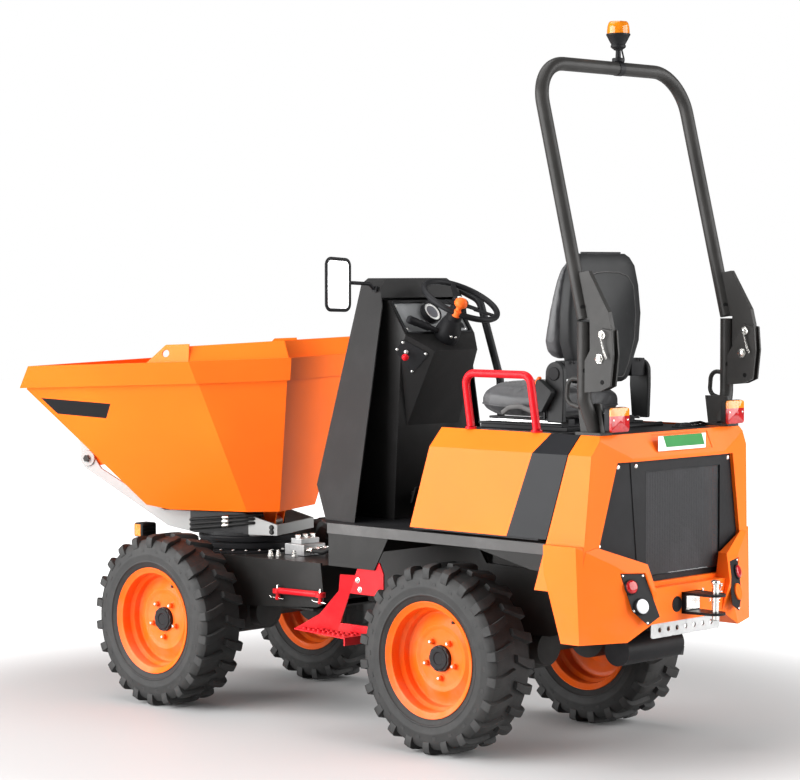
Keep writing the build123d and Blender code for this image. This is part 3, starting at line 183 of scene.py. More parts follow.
class Builder:
    """Collects surfaces in millimetres and makes one mesh object of them."""

    def __init__(self, name: str, place: Array = MACHINE) -> None:
        """Start an empty piece.

        Args:
            name: the piece's name.
            place: the frame that its points are given in.
        """
        self.name, self.place = name, place
        self.verts: list[Array] = []
        self.faces: list[list[int]] = []
        self.count = 0

    def add(self, verts: Array, faces: Iterable[Sequence[int]]) -> Builder:
        """Add vertices and the faces that index them.

        Args:
            verts: the points.
            faces: rows of indices into them.

        Returns:
            The builder.
        """
        points = np.asarray(verts, float).reshape(-1, 3)
        self.verts.append(points)
        self.faces += [[int(k) + self.count for k in face] for face in faces]
        self.count += len(points)
        return self

    def grid(self, points: Array, wrap_rows: bool = False, wrap_cols: bool = False,
             caps: bool = False) -> Builder:
        """Add a surface given as rows of points.

        Args:
            points: an array of rows, columns and 3.
            wrap_rows: whether the last row joins the first.
            wrap_cols: whether the last column joins the first.
            caps: whether the first and last rows are closed with a flat face.

        Returns:
            The builder.
        """
        rows, cols = points.shape[:2]
        faces = grid_faces(rows, cols, wrap_rows, wrap_cols).tolist()
        if caps:
            faces += [list(range(cols))[::-1], [(rows - 1) * cols + k for k in range(cols)]]
        return self.add(points, faces)

    def revolve(self, profile: Sequence[Point], origin: Point, axis: Point, segments: int = 48,
                closed: bool = False) -> Builder:
        """Add the surface that a profile of (along, radius) pairs sweeps about an axis.

        A point is origin + axis * along + (u cos t + v sin t) * radius, with t once round. A profile that
        ends at radius 0 closes itself there.

        Args:
            profile: (along, radius) pairs.
            origin: a point on the axis.
            axis: the direction of the axis.
            segments: divisions round the axis.
            closed: whether the profile is a closed ring.

        Returns:
            The builder.
        """
        u, v = across(axis)
        t = np.linspace(0, 2 * pi, segments, endpoint=False)
        p = np.asarray(profile, float)
        ring = np.cos(t)[:, None] * u + np.sin(t)[:, None] * v
        points = np.asarray(origin, float) + p[:, None, :1] * unit(axis) + p[:, None, 1:] * ring[None, :, :]
        return self.grid(points, wrap_rows=closed, wrap_cols=True, caps=not closed)

    def sweep(self, path: Array, section: Array | float, segments: int = 20, closed: bool = False,
              up: Point | None = None) -> Builder:
        """Add a section carried along a path without twist.

        A point is path + across * x + up * y, where across and up are square to the path's direction. The
        frame turns with the path only as much as the path bends.

        Args:
            path: the points of the path.
            section: a radius, or the (x, y) points of a closed section.
            segments: divisions of a round section.
            closed: whether the path joins its start.
            up: the direction that the section's y starts towards.

        Returns:
            The builder.
        """
        path = np.asarray(path, float)
        if np.isscalar(section):
            t = np.linspace(0, 2 * pi, segments, endpoint=False)
            section = np.stack([np.cos(t), np.sin(t)], 1) * section
        section = np.asarray(section, float)
        ahead = np.roll(path, -1, 0) - path
        if not closed:
            ahead[-1] = ahead[-2]
        behind = np.roll(ahead, 1, 0)
        if not closed:
            behind[0] = ahead[0]
        direction = units(units(ahead) + units(behind))
        side = across(direction[0])[0] if up is None else unit(np.cross(up, direction[0]))
        frames = []
        for d in direction:
            side = unit(side - d * (side @ d))
            frames.append((side, np.cross(d, side)))
        a = np.array([f[0] for f in frames])[:, None, :]
        b = np.array([f[1] for f in frames])[:, None, :]
        points = path[:, None, :] + section[None, :, :1] * a + section[None, :, 1:] * b
        return self.grid(points, wrap_rows=closed, wrap_cols=True, caps=not closed)

    def tube(self, points: Sequence[Point], bend: float, radius: float, segments: int = 24,
             steps: int = 9) -> Builder:
        """Add a round bar bent along straight runs."""
        return self.sweep(filleted(points, bend, steps), radius, segments)

    def plate(self, outline: Sequence[Point], thickness: Point) -> Builder:
        """Add a flat plate: an outline in space, carried along a vector, closed at both ends."""
        ring = np.asarray(outline, float)
        return self.grid(np.stack([ring, ring + np.asarray(thickness, float)]), wrap_cols=True, caps=True)

    def box(self, x: Point, y: Point, z: Point) -> Builder:
        """Add the box between the (low, high) pairs x, y and z."""
        return self.plate([(x[0], y[0], z[0]), (x[1], y[0], z[0]), (x[1], y[1], z[0]), (x[0], y[1], z[0])],
                          (0, 0, z[1] - z[0]))

    def perforated(self, front: float, back: float, y: Point, z: Point, holes: Sequence[Point]) -> Builder:
        """Add a plate across X with one row of round holes.

        Each hole lies in its own cell. The cell's rim and the hole are both cut at the angles t, and the
        rim's point is the one where the ray at t leaves the cell.

        Args:
            front, back: where the two faces lie along X.
            y, z: the (low, high) pairs of the plate.
            holes: (y, z, radius) of each, from low to high y.

        Returns:
            The builder.
        """
        cuts = [y[0], *[(a[0] + b[0]) / 2 for a, b in zip(holes, holes[1:])], y[1]]
        count = 32
        t = np.arange(count) * 2 * pi / count
        c, s = np.cos(t), np.sin(t)
        for (middle, height, radius), low, high in zip(holes, cuts, cuts[1:]):
            room_y = np.where(c > 0, high - middle, middle - low)
            room_z = np.where(s > 0, z[1] - height, height - z[0])
            rim = np.minimum(room_y / np.maximum(np.abs(c), 1e-9), room_z / np.maximum(np.abs(s), 1e-9))
            rows = []
            for x, reach in ((front, rim), (front, radius), (back, radius), (back, rim)):
                rows.append(np.stack([np.full(count, x), middle + reach * c, height + reach * s], 1))
            self.grid(np.stack(rows), wrap_cols=True)
        return self.box((front, back), y, (z[0] - 0.1, z[0])).box((front, back), y, (z[1], z[1] + 0.1))

    def bolt(self, place: Point, axis: Point, size: float = 8.0, washer: bool = True) -> Builder:
        """Add a hexagon bolt head.

        Args:
            place: the middle of its seat.
            axis: the direction out.
            size: the head's radius over its corners.
            washer: whether it has a washer.

        Returns:
            The builder.
        """
        at, out = np.asarray(place, float), unit(axis)
        if washer:
            self.revolve(np.array([(0, 1.35), (0.2, 1.35), (0.25, 1.25)]) * size, at, out, 20)
        return self.revolve(np.array([(0.2, 1), (0.75, 1), (0.95, 0.8)]) * size, at, out, 6)

    def dome(self, place: Point, axis: Point, size: float = 7.0) -> Builder:
        """Add a round button head.

        Args:
            place: the middle of its seat.
            axis: the direction out.
            size: its radius.

        Returns:
            The builder.
        """
        t = np.linspace(0, pi / 2, 5)
        profile = [(0.0, size)] + [(size * 0.55 * sin(k), size * cos(k) + 0.3) for k in t]
        return self.revolve(profile, place, axis, 16)

    def link(self, at: Array, direction: Point, half: Point, radius: float, steps: int) -> Builder:
        """Add one oval link of a chain: at + u cos t * a + v sin t * b, with u and v square to a direction.

        Args:
            at: the link's middle.
            direction: what the link lies square to.
            half: half its two widths, a and b.
            radius: half the wire's thickness.
            steps: points once round.

        Returns:
            The builder.
        """
        u, v = across(direction)
        turn = np.linspace(0, 2 * pi, steps, endpoint=False)[:, None]
        return self.sweep(at + np.cos(turn) * u * half[0] + np.sin(turn) * v * half[1], radius, 6,
                          closed=True)

    def make(self, body: str, finish: Finish, replaces: Sequence[str] = (), slot: str = "",
             smooth: float = 35.0, bevel: float = 0.0, segments: int = 2,
             padded: float = 0.0) -> bpy.types.Object:
        """Make the mesh object and tie it to its body.

        Args:
            body: the CAD body that it rides on.
            finish: the finish it wears.
            replaces: the CAD nodes that it stands for.
            slot: a material slot where it isn't the finish's usual one; not used.
            smooth: the angle in degrees below which an edge is shaded smooth.
            bevel: the width of the rounding of its edges, in millimetres.
            segments: the divisions of that rounding.
            padded: how far stuffing may push its cover out, in millimetres, or 0 for a hard piece.

        Returns:
            The object.
        """
        points = np.vstack(self.verts)
        points = points @ self.place[:3, :3].T + self.place[:3, 3]
        points = (points + (0, CENTRE_LINE_Y, 0)) * MM
        mesh = bpy.data.meshes.new(self.name)
        mesh.from_pydata(points.tolist(), [], self.faces)
        work = bmesh.new()
        work.from_mesh(mesh)
        bmesh.ops.remove_doubles(work, verts=work.verts, dist=1e-6)
        bmesh.ops.recalc_face_normals(work, faces=work.faces)
        work.to_mesh(mesh)
        work.free()
        mesh.shade_smooth()
        mesh.set_sharp_from_angle(angle=radians(smooth))
        piece = bpy.data.objects.new(self.name, mesh)
        bpy.context.scene.collection.objects.link(piece)
        if bevel:
            rounding = piece.modifiers.new("edges", "BEVEL")
            rounding.width, rounding.segments, rounding.limit_method = bevel * MM, segments, "ANGLE"
            rounding.angle_limit = radians(30)
            rounding.harden_normals = True
        if padded:
            swell(piece, padded)
            finer = piece.modifiers.new("finer", "SUBSURF")
            finer.levels = finer.render_levels = 1
        dress(piece, finish)
        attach(piece, body)
        slot or SLOT_OF[finish]
        if replaces:
            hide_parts(*replaces)
        LOG.info("%s on %s", self.name, body)
        return piece


def dress(piece: bpy.types.Object, finish: Finish) -> None:
    """Give a piece, or a CAD node, one finish all over."""
    piece.data.materials.clear()
    piece.data.materials.append(finish.material())


# ---------------------------------------------------------------- shader maths
class Value:
    """A shader number or colour that takes part in Python expressions, each of which adds its node."""

    def __init__(self, graph: Graph, link: Any) -> None:
        """Wrap an output socket of a graph."""
        self.graph, self.link = graph, link

    def math(self, operation: str, other: Any, swap: bool = False) -> Value:
        """Return the result of one Math node on this value and another."""
        first, second = (other, self) if swap else (self, other)
        return self.graph.node("ShaderNodeMath", {"operation": operation}, {0: first, 1: second})

    def __add__(self, other: Any) -> Value:
        """Return the sum."""
        return self.math("ADD", other)

    def __sub__(self, other: Any) -> Value:
        """Return the difference."""
        return self.math("SUBTRACT", other)

    def __rsub__(self, other: Any) -> Value:
        """Return the difference from a number."""
        return self.math("SUBTRACT", other, swap=True)

    def __mul__(self, other: Any) -> Value:
        """Return the product."""
        return self.math("MULTIPLY", other)

    def __truediv__(self, other: Any) -> Value:
        """Return the quotient."""
        return self.math("DIVIDE", other)

    __radd__ = __add__
    __rmul__ = __mul__

    def step(self, low: float, high: float) -> Value:
        """Return 0 below low and 1 above high, with a smooth slope between."""
        settings = {"interpolation_type": "SMOOTHSTEP"}
        return self.graph.node("ShaderNodeMapRange", settings, {0: self, 1: low, 2: high, 3: 0.0, 4: 1.0})


class Graph:
    """The node tree of one material."""

    def __init__(self, name: str) -> None:
        """Make an empty material of the name."""
        self.data = bpy.data.materials.new(name)
        self.data.use_nodes = True
        self.tree = self.data.node_tree
        self.tree.nodes.clear()

    def node(self, kind: str, settings: dict[str, Any] | None = None, inputs: dict[Any, Any] | None = None,
             output: Any = 0) -> Value:
        """Add one node.

        Args:
            kind: the node's type.
            settings: its properties, which are set first.
            inputs: values or links of its sockets, by name or number.
            output: the socket to return, by name or number.

        Returns:
            The chosen output.
        """
        made = self.tree.nodes.new(kind)
        for key, value in (settings or {}).items():
            setattr(made, key, value)
        for key, value in (inputs or {}).items():
            if isinstance(value, Value):
                self.tree.links.new(value.link, made.inputs[key])
            else:
                made.inputs[key].default_value = value
        return Value(self, made.outputs[output] if made.outputs else None)

    def place(self) -> Value:
        """Return the Object coordinates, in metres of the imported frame."""
        return self.node("ShaderNodeTexCoord", output="Object")

    def along(self, direction: Point, offset: float = 0.0) -> Value:
        """Return how far the surface point lies along a direction, less an offset, in metres."""
        return self.dot(self.place(), tuple(direction)) - offset

    def dot(self, first: Value, second: Any) -> Value:
        """Return the scalar product of two vectors."""
        return self.node("ShaderNodeVectorMath", {"operation": "DOT_PRODUCT"}, {0: first, 1: second}, "Value")

    def facing_away(self, middle: Point) -> Value:
        """Return 1 on the faces that look away from a point and 0 on those that look towards it."""
        vector = self.node("ShaderNodeVectorMath", {"operation": "SUBTRACT"}, {0: self.place(), 1: middle})
        return self.dot(vector, self.node("ShaderNodeTexCoord", output="Normal")).step(-0.001, 0.001)

    def noise(self, scale: float, detail: float = 2.0, roughness: float = 0.5,
              stretch: Point | None = None) -> Value:
        """Return a noise between 0 and 1 over the Object coordinates.

        Args:
            scale: features per metre.
            detail: octaves.
            roughness: the share that finer octaves keep.
            stretch: factors along X, Y and Z before the noise.

        Returns:
            The noise.
        """
        vector = self.place()
        if stretch is not None:
            vector = self.node("ShaderNodeMapping", {"vector_type": "POINT"},
                               {"Vector": vector, "Scale": tuple(stretch)})
        inputs = {"Vector": vector, "Scale": scale, "Detail": detail, "Roughness": roughness}
        return self.node("ShaderNodeTexNoise", None, inputs, output=0)

    def mix(self, factor: Any, low: Any, high: Any) -> Value:
        """Return the colour between low and high.

        Args:
            factor: 0 for low, 1 for high.
            low, high: colours or links.

        Returns:
            The mixed colour.
        """
        settings = {"data_type": "RGBA", "clamp_factor": True}
        paired = {0: factor, 6: self.colour(low), 7: self.colour(high)}
        return self.node("ShaderNodeMix", settings, paired, output=2)

    def colour(self, value: Any) -> Any:
        """Return a colour with its alpha, or a link as it is."""
        return value if isinstance(value, Value) else (*value, 1.0)

    def rounded(self, radius: float) -> Value:
        """Return the normal with its edges rounded over a radius in millimetres."""
        return self.node("ShaderNodeBevel", {"samples": 4}, {"Radius": radius * MM})

    def bump(self, height: Value, depth: float, normal: Value | None = None) -> Value:
        """Return the normal bumped by a height.

        Args:
            height: a value between 0 and 1.
            depth: the depth that it stands for, in millimetres.
            normal: the normal to start from.

        Returns:
            The bumped normal.
        """
        inputs: dict[Any, Any] = {"Height": height, "Distance": depth * MM, "Strength": 1.0}
        if normal is not None:
            inputs["Normal"] = normal
        return self.node("ShaderNodeBump", None, inputs)

    def surface(self, **sockets: Any) -> bpy.types.Material:
        """Add the Principled shader and the output.

        Args:
            sockets: values or links of its sockets, named with underscores for spaces.

        Returns:
            The material.
        """
        inputs = {key.replace("_", " "): value for key, value in sockets.items()}
        shader = self.node("ShaderNodeBsdfPrincipled", None, inputs)
        self.node("ShaderNodeOutputMaterial", None, {"Surface": shader})
        return self.data


# ---------------------------------------------------------------- finishes
def tint(colour: Colour, share: float) -> Colour:
    """Return the colour made lighter or darker by a share."""
    return tuple(min(1.0, channel * share) for channel in colour)


class Made:
    """A finish that makes its material once and hands the same one out again."""

    cache: dict[Any, bpy.types.Material] = {}

    def material(self) -> bpy.types.Material:
        """Return the material.

        Returns:
            The material, made at the first call.
        """
        if self not in Made.cache:
            Made.cache[self] = self.build()
        return Made.cache[self]

    def build(self) -> bpy.types.Material:
        """Make the material."""
        raise NotImplementedError


@dataclass(frozen=True)
class Stripe:
    """A painted field between planes: each plane is (x, y, z, offset), and the field lies where x.p > offset.

    Round a hollow, given by its middle in metres, only the faces that look away from that middle are painted.
    """

    colour: Colour
    planes: Quads
    hollow: Point | None = None


@dataclass(frozen=True)
class Paint(Made):
    """Sprayed gloss paint on sheet steel: orange peel, a faint change of tone and fine dust low down."""

    name: str
    colour: Colour
    roughness: float = 0.36
    coat: float = 0.04
    gloss: float = 0.09
    peel: float = 0.05
    dust: Colour = (0.42, 0.36, 0.30)
    dust_top: float = 0.75
    dust_share: float = 0.10
    edge: float = 1.6
    stripes: tuple[Stripe, ...] = ()

    def build(self) -> bpy.types.Material:
        """Make the material.

        Returns:
            The material.
        """
        g = Graph(self.name)
        tone = g.noise(1.7, 3.0)
        base: Any = g.mix(tone.step(0.35, 0.65), tint(self.colour, 0.94), tint(self.colour, 1.04))
        for stripe in self.stripes:
            field_mask: Any = 1.0
            for x, y, z, offset in stripe.planes:
                field_mask = g.along((x, y, z), offset).step(-0.0004, 0.0004) * field_mask
            if stripe.hollow is not None:
                field_mask = g.facing_away(stripe.hollow) * field_mask
            base = g.mix(field_mask, base, stripe.colour)
        height = g.along((0, 0, 1))
        low = 1.0 - (height / self.dust_top).step(0.2, 1.0)
        patches = g.noise(9.0, 4.0, 0.6).step(0.35, 0.75)
        base = g.mix(low * patches * self.dust_share, base, self.dust)
        rough = g.noise(22.0, 3.0) * 0.10 + (self.roughness - 0.05) + low * patches * 0.25
        peel = g.noise(420.0, 2.0)
        normal = g.bump(peel, self.peel, g.rounded(self.edge))
        return g.surface(Base_Color=base, Roughness=rough, Normal=normal, Coat_Weight=self.coat,
                         Coat_Roughness=0.08, Specular_IOR_Level=self.gloss)


@dataclass(frozen=True)
class Powder(Made):
    """Powder coat or moulded plastic: a fine grain that breaks the gloss, and paler rubbed spots."""

    name: str
    colour: Colour
    roughness: float = 0.5
    grain: float = 900.0
    depth: float = 0.08
    edge: float = 1.2
    metal: float = 0.0
    rubbed: float = 1.35
    gloss: float = 0.12

    def build(self) -> bpy.types.Material:
        """Make the material.

        Returns:
            The material.
        """
        g = Graph(self.name)
        worn = g.noise(6.0, 5.0, 0.62).step(0.42, 0.72)
        base = g.mix(worn, self.colour, tint(self.colour, self.rubbed))
        rough = g.noise(60.0, 3.0) * 0.16 + (self.roughness - 0.08)
        normal = g.bump(g.noise(self.grain, 2.0), self.depth, g.rounded(self.edge))
        return g.surface(Base_Color=base, Roughness=rough, Metallic=self.metal, Normal=normal,
                         Specular_IOR_Level=self.gloss)


@dataclass(frozen=True)
class Metal(Made):
    """Bare or plated steel: brushed or rolled streaks in its roughness, and a dull film in patches."""

    name: str
    colour: Colour = (0.62, 0.62, 0.61)
    roughness: float = 0.28
    streak: Point = (1.0, 1.0, 14.0)
    film: float = 0.35
    edge: float = 0.5

    def build(self) -> bpy.types.Material:
        """Make the material.

        Returns:
            The material.
        """
        g = Graph(self.name)
        streaks = g.noise(160.0, 3.0, 0.6, tuple(self.streak))
        dull = g.noise(28.0, 4.0, 0.6).step(0.45, 0.8)
        base = g.mix(dull * self.film, self.colour, tint(self.colour, 0.45))
        rough = streaks * 0.18 + (self.roughness - 0.09) + dull * 0.12
        normal = g.bump(streaks, 0.02, g.rounded(self.edge))
        return g.surface(Base_Color=base, Roughness=rough, Metallic=1.0, Normal=normal)


@dataclass(frozen=True)
class Rubber(Made):
    """Black rubber of the tyres: a mat skin, paler where it is dry, with a fine grain."""

    name: str
    colour: Colour = (0.007, 0.007, 0.007)
    dry: Colour = (0.022, 0.021, 0.020)
    roughness: float = 0.72

    def build(self) -> bpy.types.Material:
        """Make the material.

        Returns:
            The material.
        """
        g = Graph(self.name)
        patches = g.noise(7.0, 5.0, 0.65).step(0.38, 0.72)
        fine = g.noise(130.0, 4.0, 0.7)
        base = g.mix(patches * 0.55 + fine * 0.25, self.colour, self.dry)
        rough = self.roughness - 0.08 + g.noise(40.0, 3.0) * 0.16
        normal = g.bump(g.noise(520.0, 3.0) * 0.4 + fine * 0.6, 0.25)
        return g.surface(Base_Color=base, Roughness=rough, Normal=normal)


@dataclass(frozen=True)
class Vinyl(Made):
    """Upholstery vinyl: a pebbled leather grain from small cells, with soft sheen."""

    name: str
    colour: Colour = (0.018, 0.018, 0.020)
    roughness: float = 0.48
    cell: float = 520.0

    def build(self) -> bpy.types.Material:
        """Make the material.

        Returns:
            The material.
        """
        g = Graph(self.name)
        pebbles = g.node("ShaderNodeTexVoronoi", {"feature": "SMOOTH_F1"},
                         {"Vector": g.place(), "Scale": self.cell})
        creases = g.noise(35.0, 4.0, 0.6)
        base = g.mix(creases.step(0.4, 0.7), self.colour, tint(self.colour, 1.5))
        rough = self.roughness - 0.06 + creases * 0.12
        normal = g.bump(pebbles * 0.8 + creases * 0.4, 0.25)
        return g.surface(Base_Color=base, Roughness=rough, Normal=normal, Sheen_Weight=0.15,
                         Sheen_Roughness=0.5)


@dataclass(frozen=True)
class Lens(Made):
    """Moulded coloured lens: a clear skin over fine flutes, with a painted glow of its own colour inside; on
    the mirror's glass the pale colour and glow are a painted reflection.
    """

    name: str
    colour: Colour
    flutes: float = 340.0
    glow: float = 0.10
    bands: tuple[tuple[float, Colour], ...] = ()

    def build(self) -> bpy.types.Material:
        """Make the material.

        Returns:
            The material.
        """
        g = Graph(self.name)
        depth = g.noise(45.0, 2.0).step(0.3, 0.7)
        base: Any = g.mix(depth, tint(self.colour, 0.8), self.colour)
        for height, colour in self.bands:
            base = g.mix(g.along((0, 0, 1), height).step(-0.0006, 0.0006), base, colour)
        wave = g.node("ShaderNodeTexWave", {"wave_type": "BANDS", "bands_direction": "Y"},
                      {"Vector": g.place(), "Scale": self.flutes / 20.0, "Distortion": 0.0})
        normal = g.bump(wave, 0.35, g.rounded(1.2))
        return g.surface(Base_Color=base, Roughness=0.12 + depth * 0.05, Normal=normal, Coat_Weight=0.5,
                         Coat_Roughness=0.03, Specular_IOR_Level=0.2, Emission_Color=base,
                         Emission_Strength=self.glow)


ORANGE = (0.95, 0.145, 0.010)
BLACK_STRIPE = (0.012, 0.012, 0.013)
SLATE = (0.010, 0.0105, 0.012)


def edge_plane(start: Point, end: Point, inside: Point, place: Array) -> Quad:
    """Return the plane (x, y, z, offset) along an edge in a side view, positive on one side.

    Args:
        start, end: two points (along, up) of the edge.
        inside: a point (along, up) on the positive side.
        place: the frame that the points are given in.

    Returns:
        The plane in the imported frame, in metres.
    """
    run = np.array([end[0] - start[0], end[1] - start[1]], float)
    normal = unit((-run[1], run[0]))
    if (np.array(inside) - np.array(start)) @ normal < 0:
        normal = -normal
    direction = place[:3, :3] @ (normal[0], 0.0, normal[1])
    point = (place[:3, :3] @ (start[0], 0.0, start[1]) + place[:3, 3] + (0, CENTRE_LINE_Y, 0)) * MM
    return (*direction.tolist(), float(direction @ point))


def outline_planes(corners: Sequence[Point], place: Array) -> Quads:
    """Return the planes round a convex outline of (along, up) points in a side view."""
    middle = np.mean(np.array(corners, float), 0)
    return tuple(edge_plane(a, b, middle, place) for a, b in zip(corners, [*corners[1:], corners[0]]))


SKIP_STRIPE = Stripe(BLACK_STRIPE, outline_planes([(687, 1206), (384, 1187), (418, 1127), (630, 1142)],
                                                  SKIP_FRAME), hollow=(0.83, -0.11, 1.0))
CARRIER_SHADE = Stripe(BLACK_STRIPE, (edge_plane((172, 650), (172, 760), (0, 700), SKIP_FRAME),
                                      edge_plane((-88, 650), (-88, 760), (0, 700), SKIP_FRAME)))
SIDE_STRIPE = Stripe(SLATE, (edge_plane((-1153, 1087), (-1058, 805), (-1200, 805), MACHINE),
                             edge_plane((-1153, 1087), (-1204, 1160), (-1240, 1087), MACHINE)))


class Finish(Enum):
    """The finishes of the machine, by where they are."""

    BODY = Paint("orange_paint", ORANGE)
    SKIP = Paint("orange_skip_paint", ORANGE, stripes=(SKIP_STRIPE,))
    SIDE = Paint("orange_side_paint", ORANGE, stripes=(SIDE_STRIPE,))
    CARRIER = Paint("carrier_paint", (0.30, 0.30, 0.295), roughness=0.42, gloss=0.2, stripes=(CARRIER_SHADE,))
    WHEEL = Paint("orange_wheel_paint", (0.82, 0.115, 0.009), roughness=0.32, dust_share=0.16, edge=0.8)
    RED = Paint("red_paint", (0.52, 0.008, 0.014), roughness=0.3)
    GREY = Powder("light_grey_paint", (0.30, 0.30, 0.295), roughness=0.42, depth=0.04)
    FRAME = Powder("dark_frame_paint", (0.015, 0.0145, 0.014), roughness=0.42, depth=0.05)
    SILL = Powder("sill_paint", (0.070, 0.068, 0.067), roughness=0.40, depth=0.04)
    HOOP = Powder("hoop_paint", (0.026, 0.025, 0.024), roughness=0.36, depth=0.03)
    BLACK = Powder("black_powder_coat", (0.012, 0.012, 0.013), roughness=0.45)
    PLASTIC = Powder("black_moulding", (0.010, 0.010, 0.011), roughness=0.50, depth=0.10)
    SHIELD = Powder("shield_moulding", (0.014, 0.0135, 0.0135), roughness=0.42, depth=0.05)
    SHELL = Powder("seat_back_moulding", (0.016, 0.0165, 0.017), roughness=0.45, depth=0.06)
    IRON = Powder("axle_iron", (0.035, 0.034, 0.033), roughness=0.6, grain=240.0, depth=0.3)
    STEEL = Metal("bare_steel")
    ZINC = Metal("zinc_plating", (0.70, 0.69, 0.66), roughness=0.25, film=0.2)
    DRILLED = Metal("grey_plate", (0.40, 0.40, 0.40), roughness=0.42, film=0.4)
    RUBBER = Rubber("tyre_rubber")
    HOSE = Powder("hose_rubber", (0.016, 0.016, 0.016), roughness=0.55, depth=0.06)
    VINYL = Vinyl("seat_vinyl")
    AMBER = Lens("amber_lens", (0.60, 0.17, 0.004), glow=0.04)
    RED_LENS = Lens("red_lens", (0.42, 0.006, 0.008), glow=0.03)
    CLEAR = Lens("clear_lens", (0.80, 0.82, 0.84), glow=0.05)
    TAIL_LENS = Lens("tail_lens", (0.40, 0.006, 0.008), glow=0.03, bands=((1.222, (0.62, 0.19, 0.004)),))
    SHEET = Powder("perforated_sheet", (0.055, 0.055, 0.058), roughness=0.5)
    # painted shade: a dark orange for the post that stands in shade behind the grille sheet
    SHADED_POST = Powder("shadowed_post", (0.16, 0.05, 0.02), roughness=0.6)
    DASH = Metal("dash_sheet", (0.55, 0.56, 0.57), roughness=0.38, streak=(14.0, 1.0, 1.0), film=0.25)
    PALE = Powder("pale_blank", (0.78, 0.78, 0.76), roughness=0.4, depth=0.02, rubbed=1.05)
    GREEN = Powder("green_blank", (0.03, 0.20, 0.05), roughness=0.4, depth=0.02, rubbed=1.1)
    GAUGE = Powder("gauge_face", (0.10, 0.10, 0.11), roughness=0.3, depth=0.01)
    # painted reflection: the mirror's glass is near-white and glows to stand for what it reflects
    REFLECTION_GLASS = Lens("mirror_glass_painted_reflection", (0.86, 0.87, 0.88), flutes=0.0, glow=0.45)
    ORANGE_PLASTIC = Powder("orange_moulding", (0.85, 0.13, 0.02), roughness=0.35, depth=0.05, rubbed=1.1)
    # painted shade: near-black discs stand for the shade inside holes
    HOLE_SHADE = Powder("painted_hole_shade", (0.006, 0.006, 0.006), roughness=0.8, depth=0.02)

    def material(self) -> bpy.types.Material:
        """Return the finish's material."""
        return self.value.material()


SLOTS: dict[str, tuple[Finish, ...]] = {
    "tyre": (Finish.RUBBER,),
    "orange": (Finish.WHEEL, Finish.BODY, Finish.ORANGE_PLASTIC),
    "steel": (Finish.ZINC, Finish.DRILLED, Finish.STEEL, Finish.REFLECTION_GLASS),
    "black_paint": (Finish.BLACK, Finish.SHADED_POST, Finish.HOLE_SHADE),
    "black_plastic": (Finish.PLASTIC, Finish.SHEET, Finish.SHELL, Finish.GAUGE, Finish.HOSE),
    "iron": (Finish.IRON,),
    "lens": (Finish.RED_LENS, Finish.CLEAR, Finish.TAIL_LENS, Finish.AMBER),
    "vinyl": (Finish.VINYL,),
    "light_grey": (Finish.SILL, Finish.PALE, Finish.DASH, Finish.GREEN, Finish.GREY),
    "red": (Finish.RED,),
}
SLOT_OF = {finish: slot for slot, finishes in SLOTS.items() for finish in finishes}
# the CAD nodes that are seen as they are
CAD_FINISHES: dict[Finish, tuple[str, ...]] = {
    Finish.SKIP: ("skip",),
    Finish.BODY: ("rear_hood", "rear_bumper"),
    Finish.SIDE: ("side_panels",),
    Finish.CARRIER: ("skip_carrier",),
    Finish.FRAME: ("front_frame", "rear_frame", "skirts"),
    Finish.SILL: ("sill_rails",),
    Finish.BLACK: ("floor_plate", "engine_deck", "engine_lid", "grab_post", "muffler"),
    Finish.HOOP: ("hoop", "hoop_posts"),
    Finish.SHIELD: ("console_shell", "console_body"),
    Finish.RED: ("step", "hand_rail"),
    Finish.IRON: ("front_axle", "rear_axle", "engine_block"),
}


def dress_cad() -> None:
    """Give every CAD node that is seen its finish."""
    for finish, nodes in CAD_FINISHES.items():
        for node in nodes:
            dress(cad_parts[node], finish)
            LOG.info("%s wears %s", node, finish.name)


# ---------------------------------------------------------------- wheels
WHEEL_X = 743.5
WHEEL_Y = 432.0
WHEEL_Z = 338.0
LUGS = 22
ENDS = {"front": 1.0, "rear": -1.0}
SIDES = {"left": 1.0, "right": -1.0}


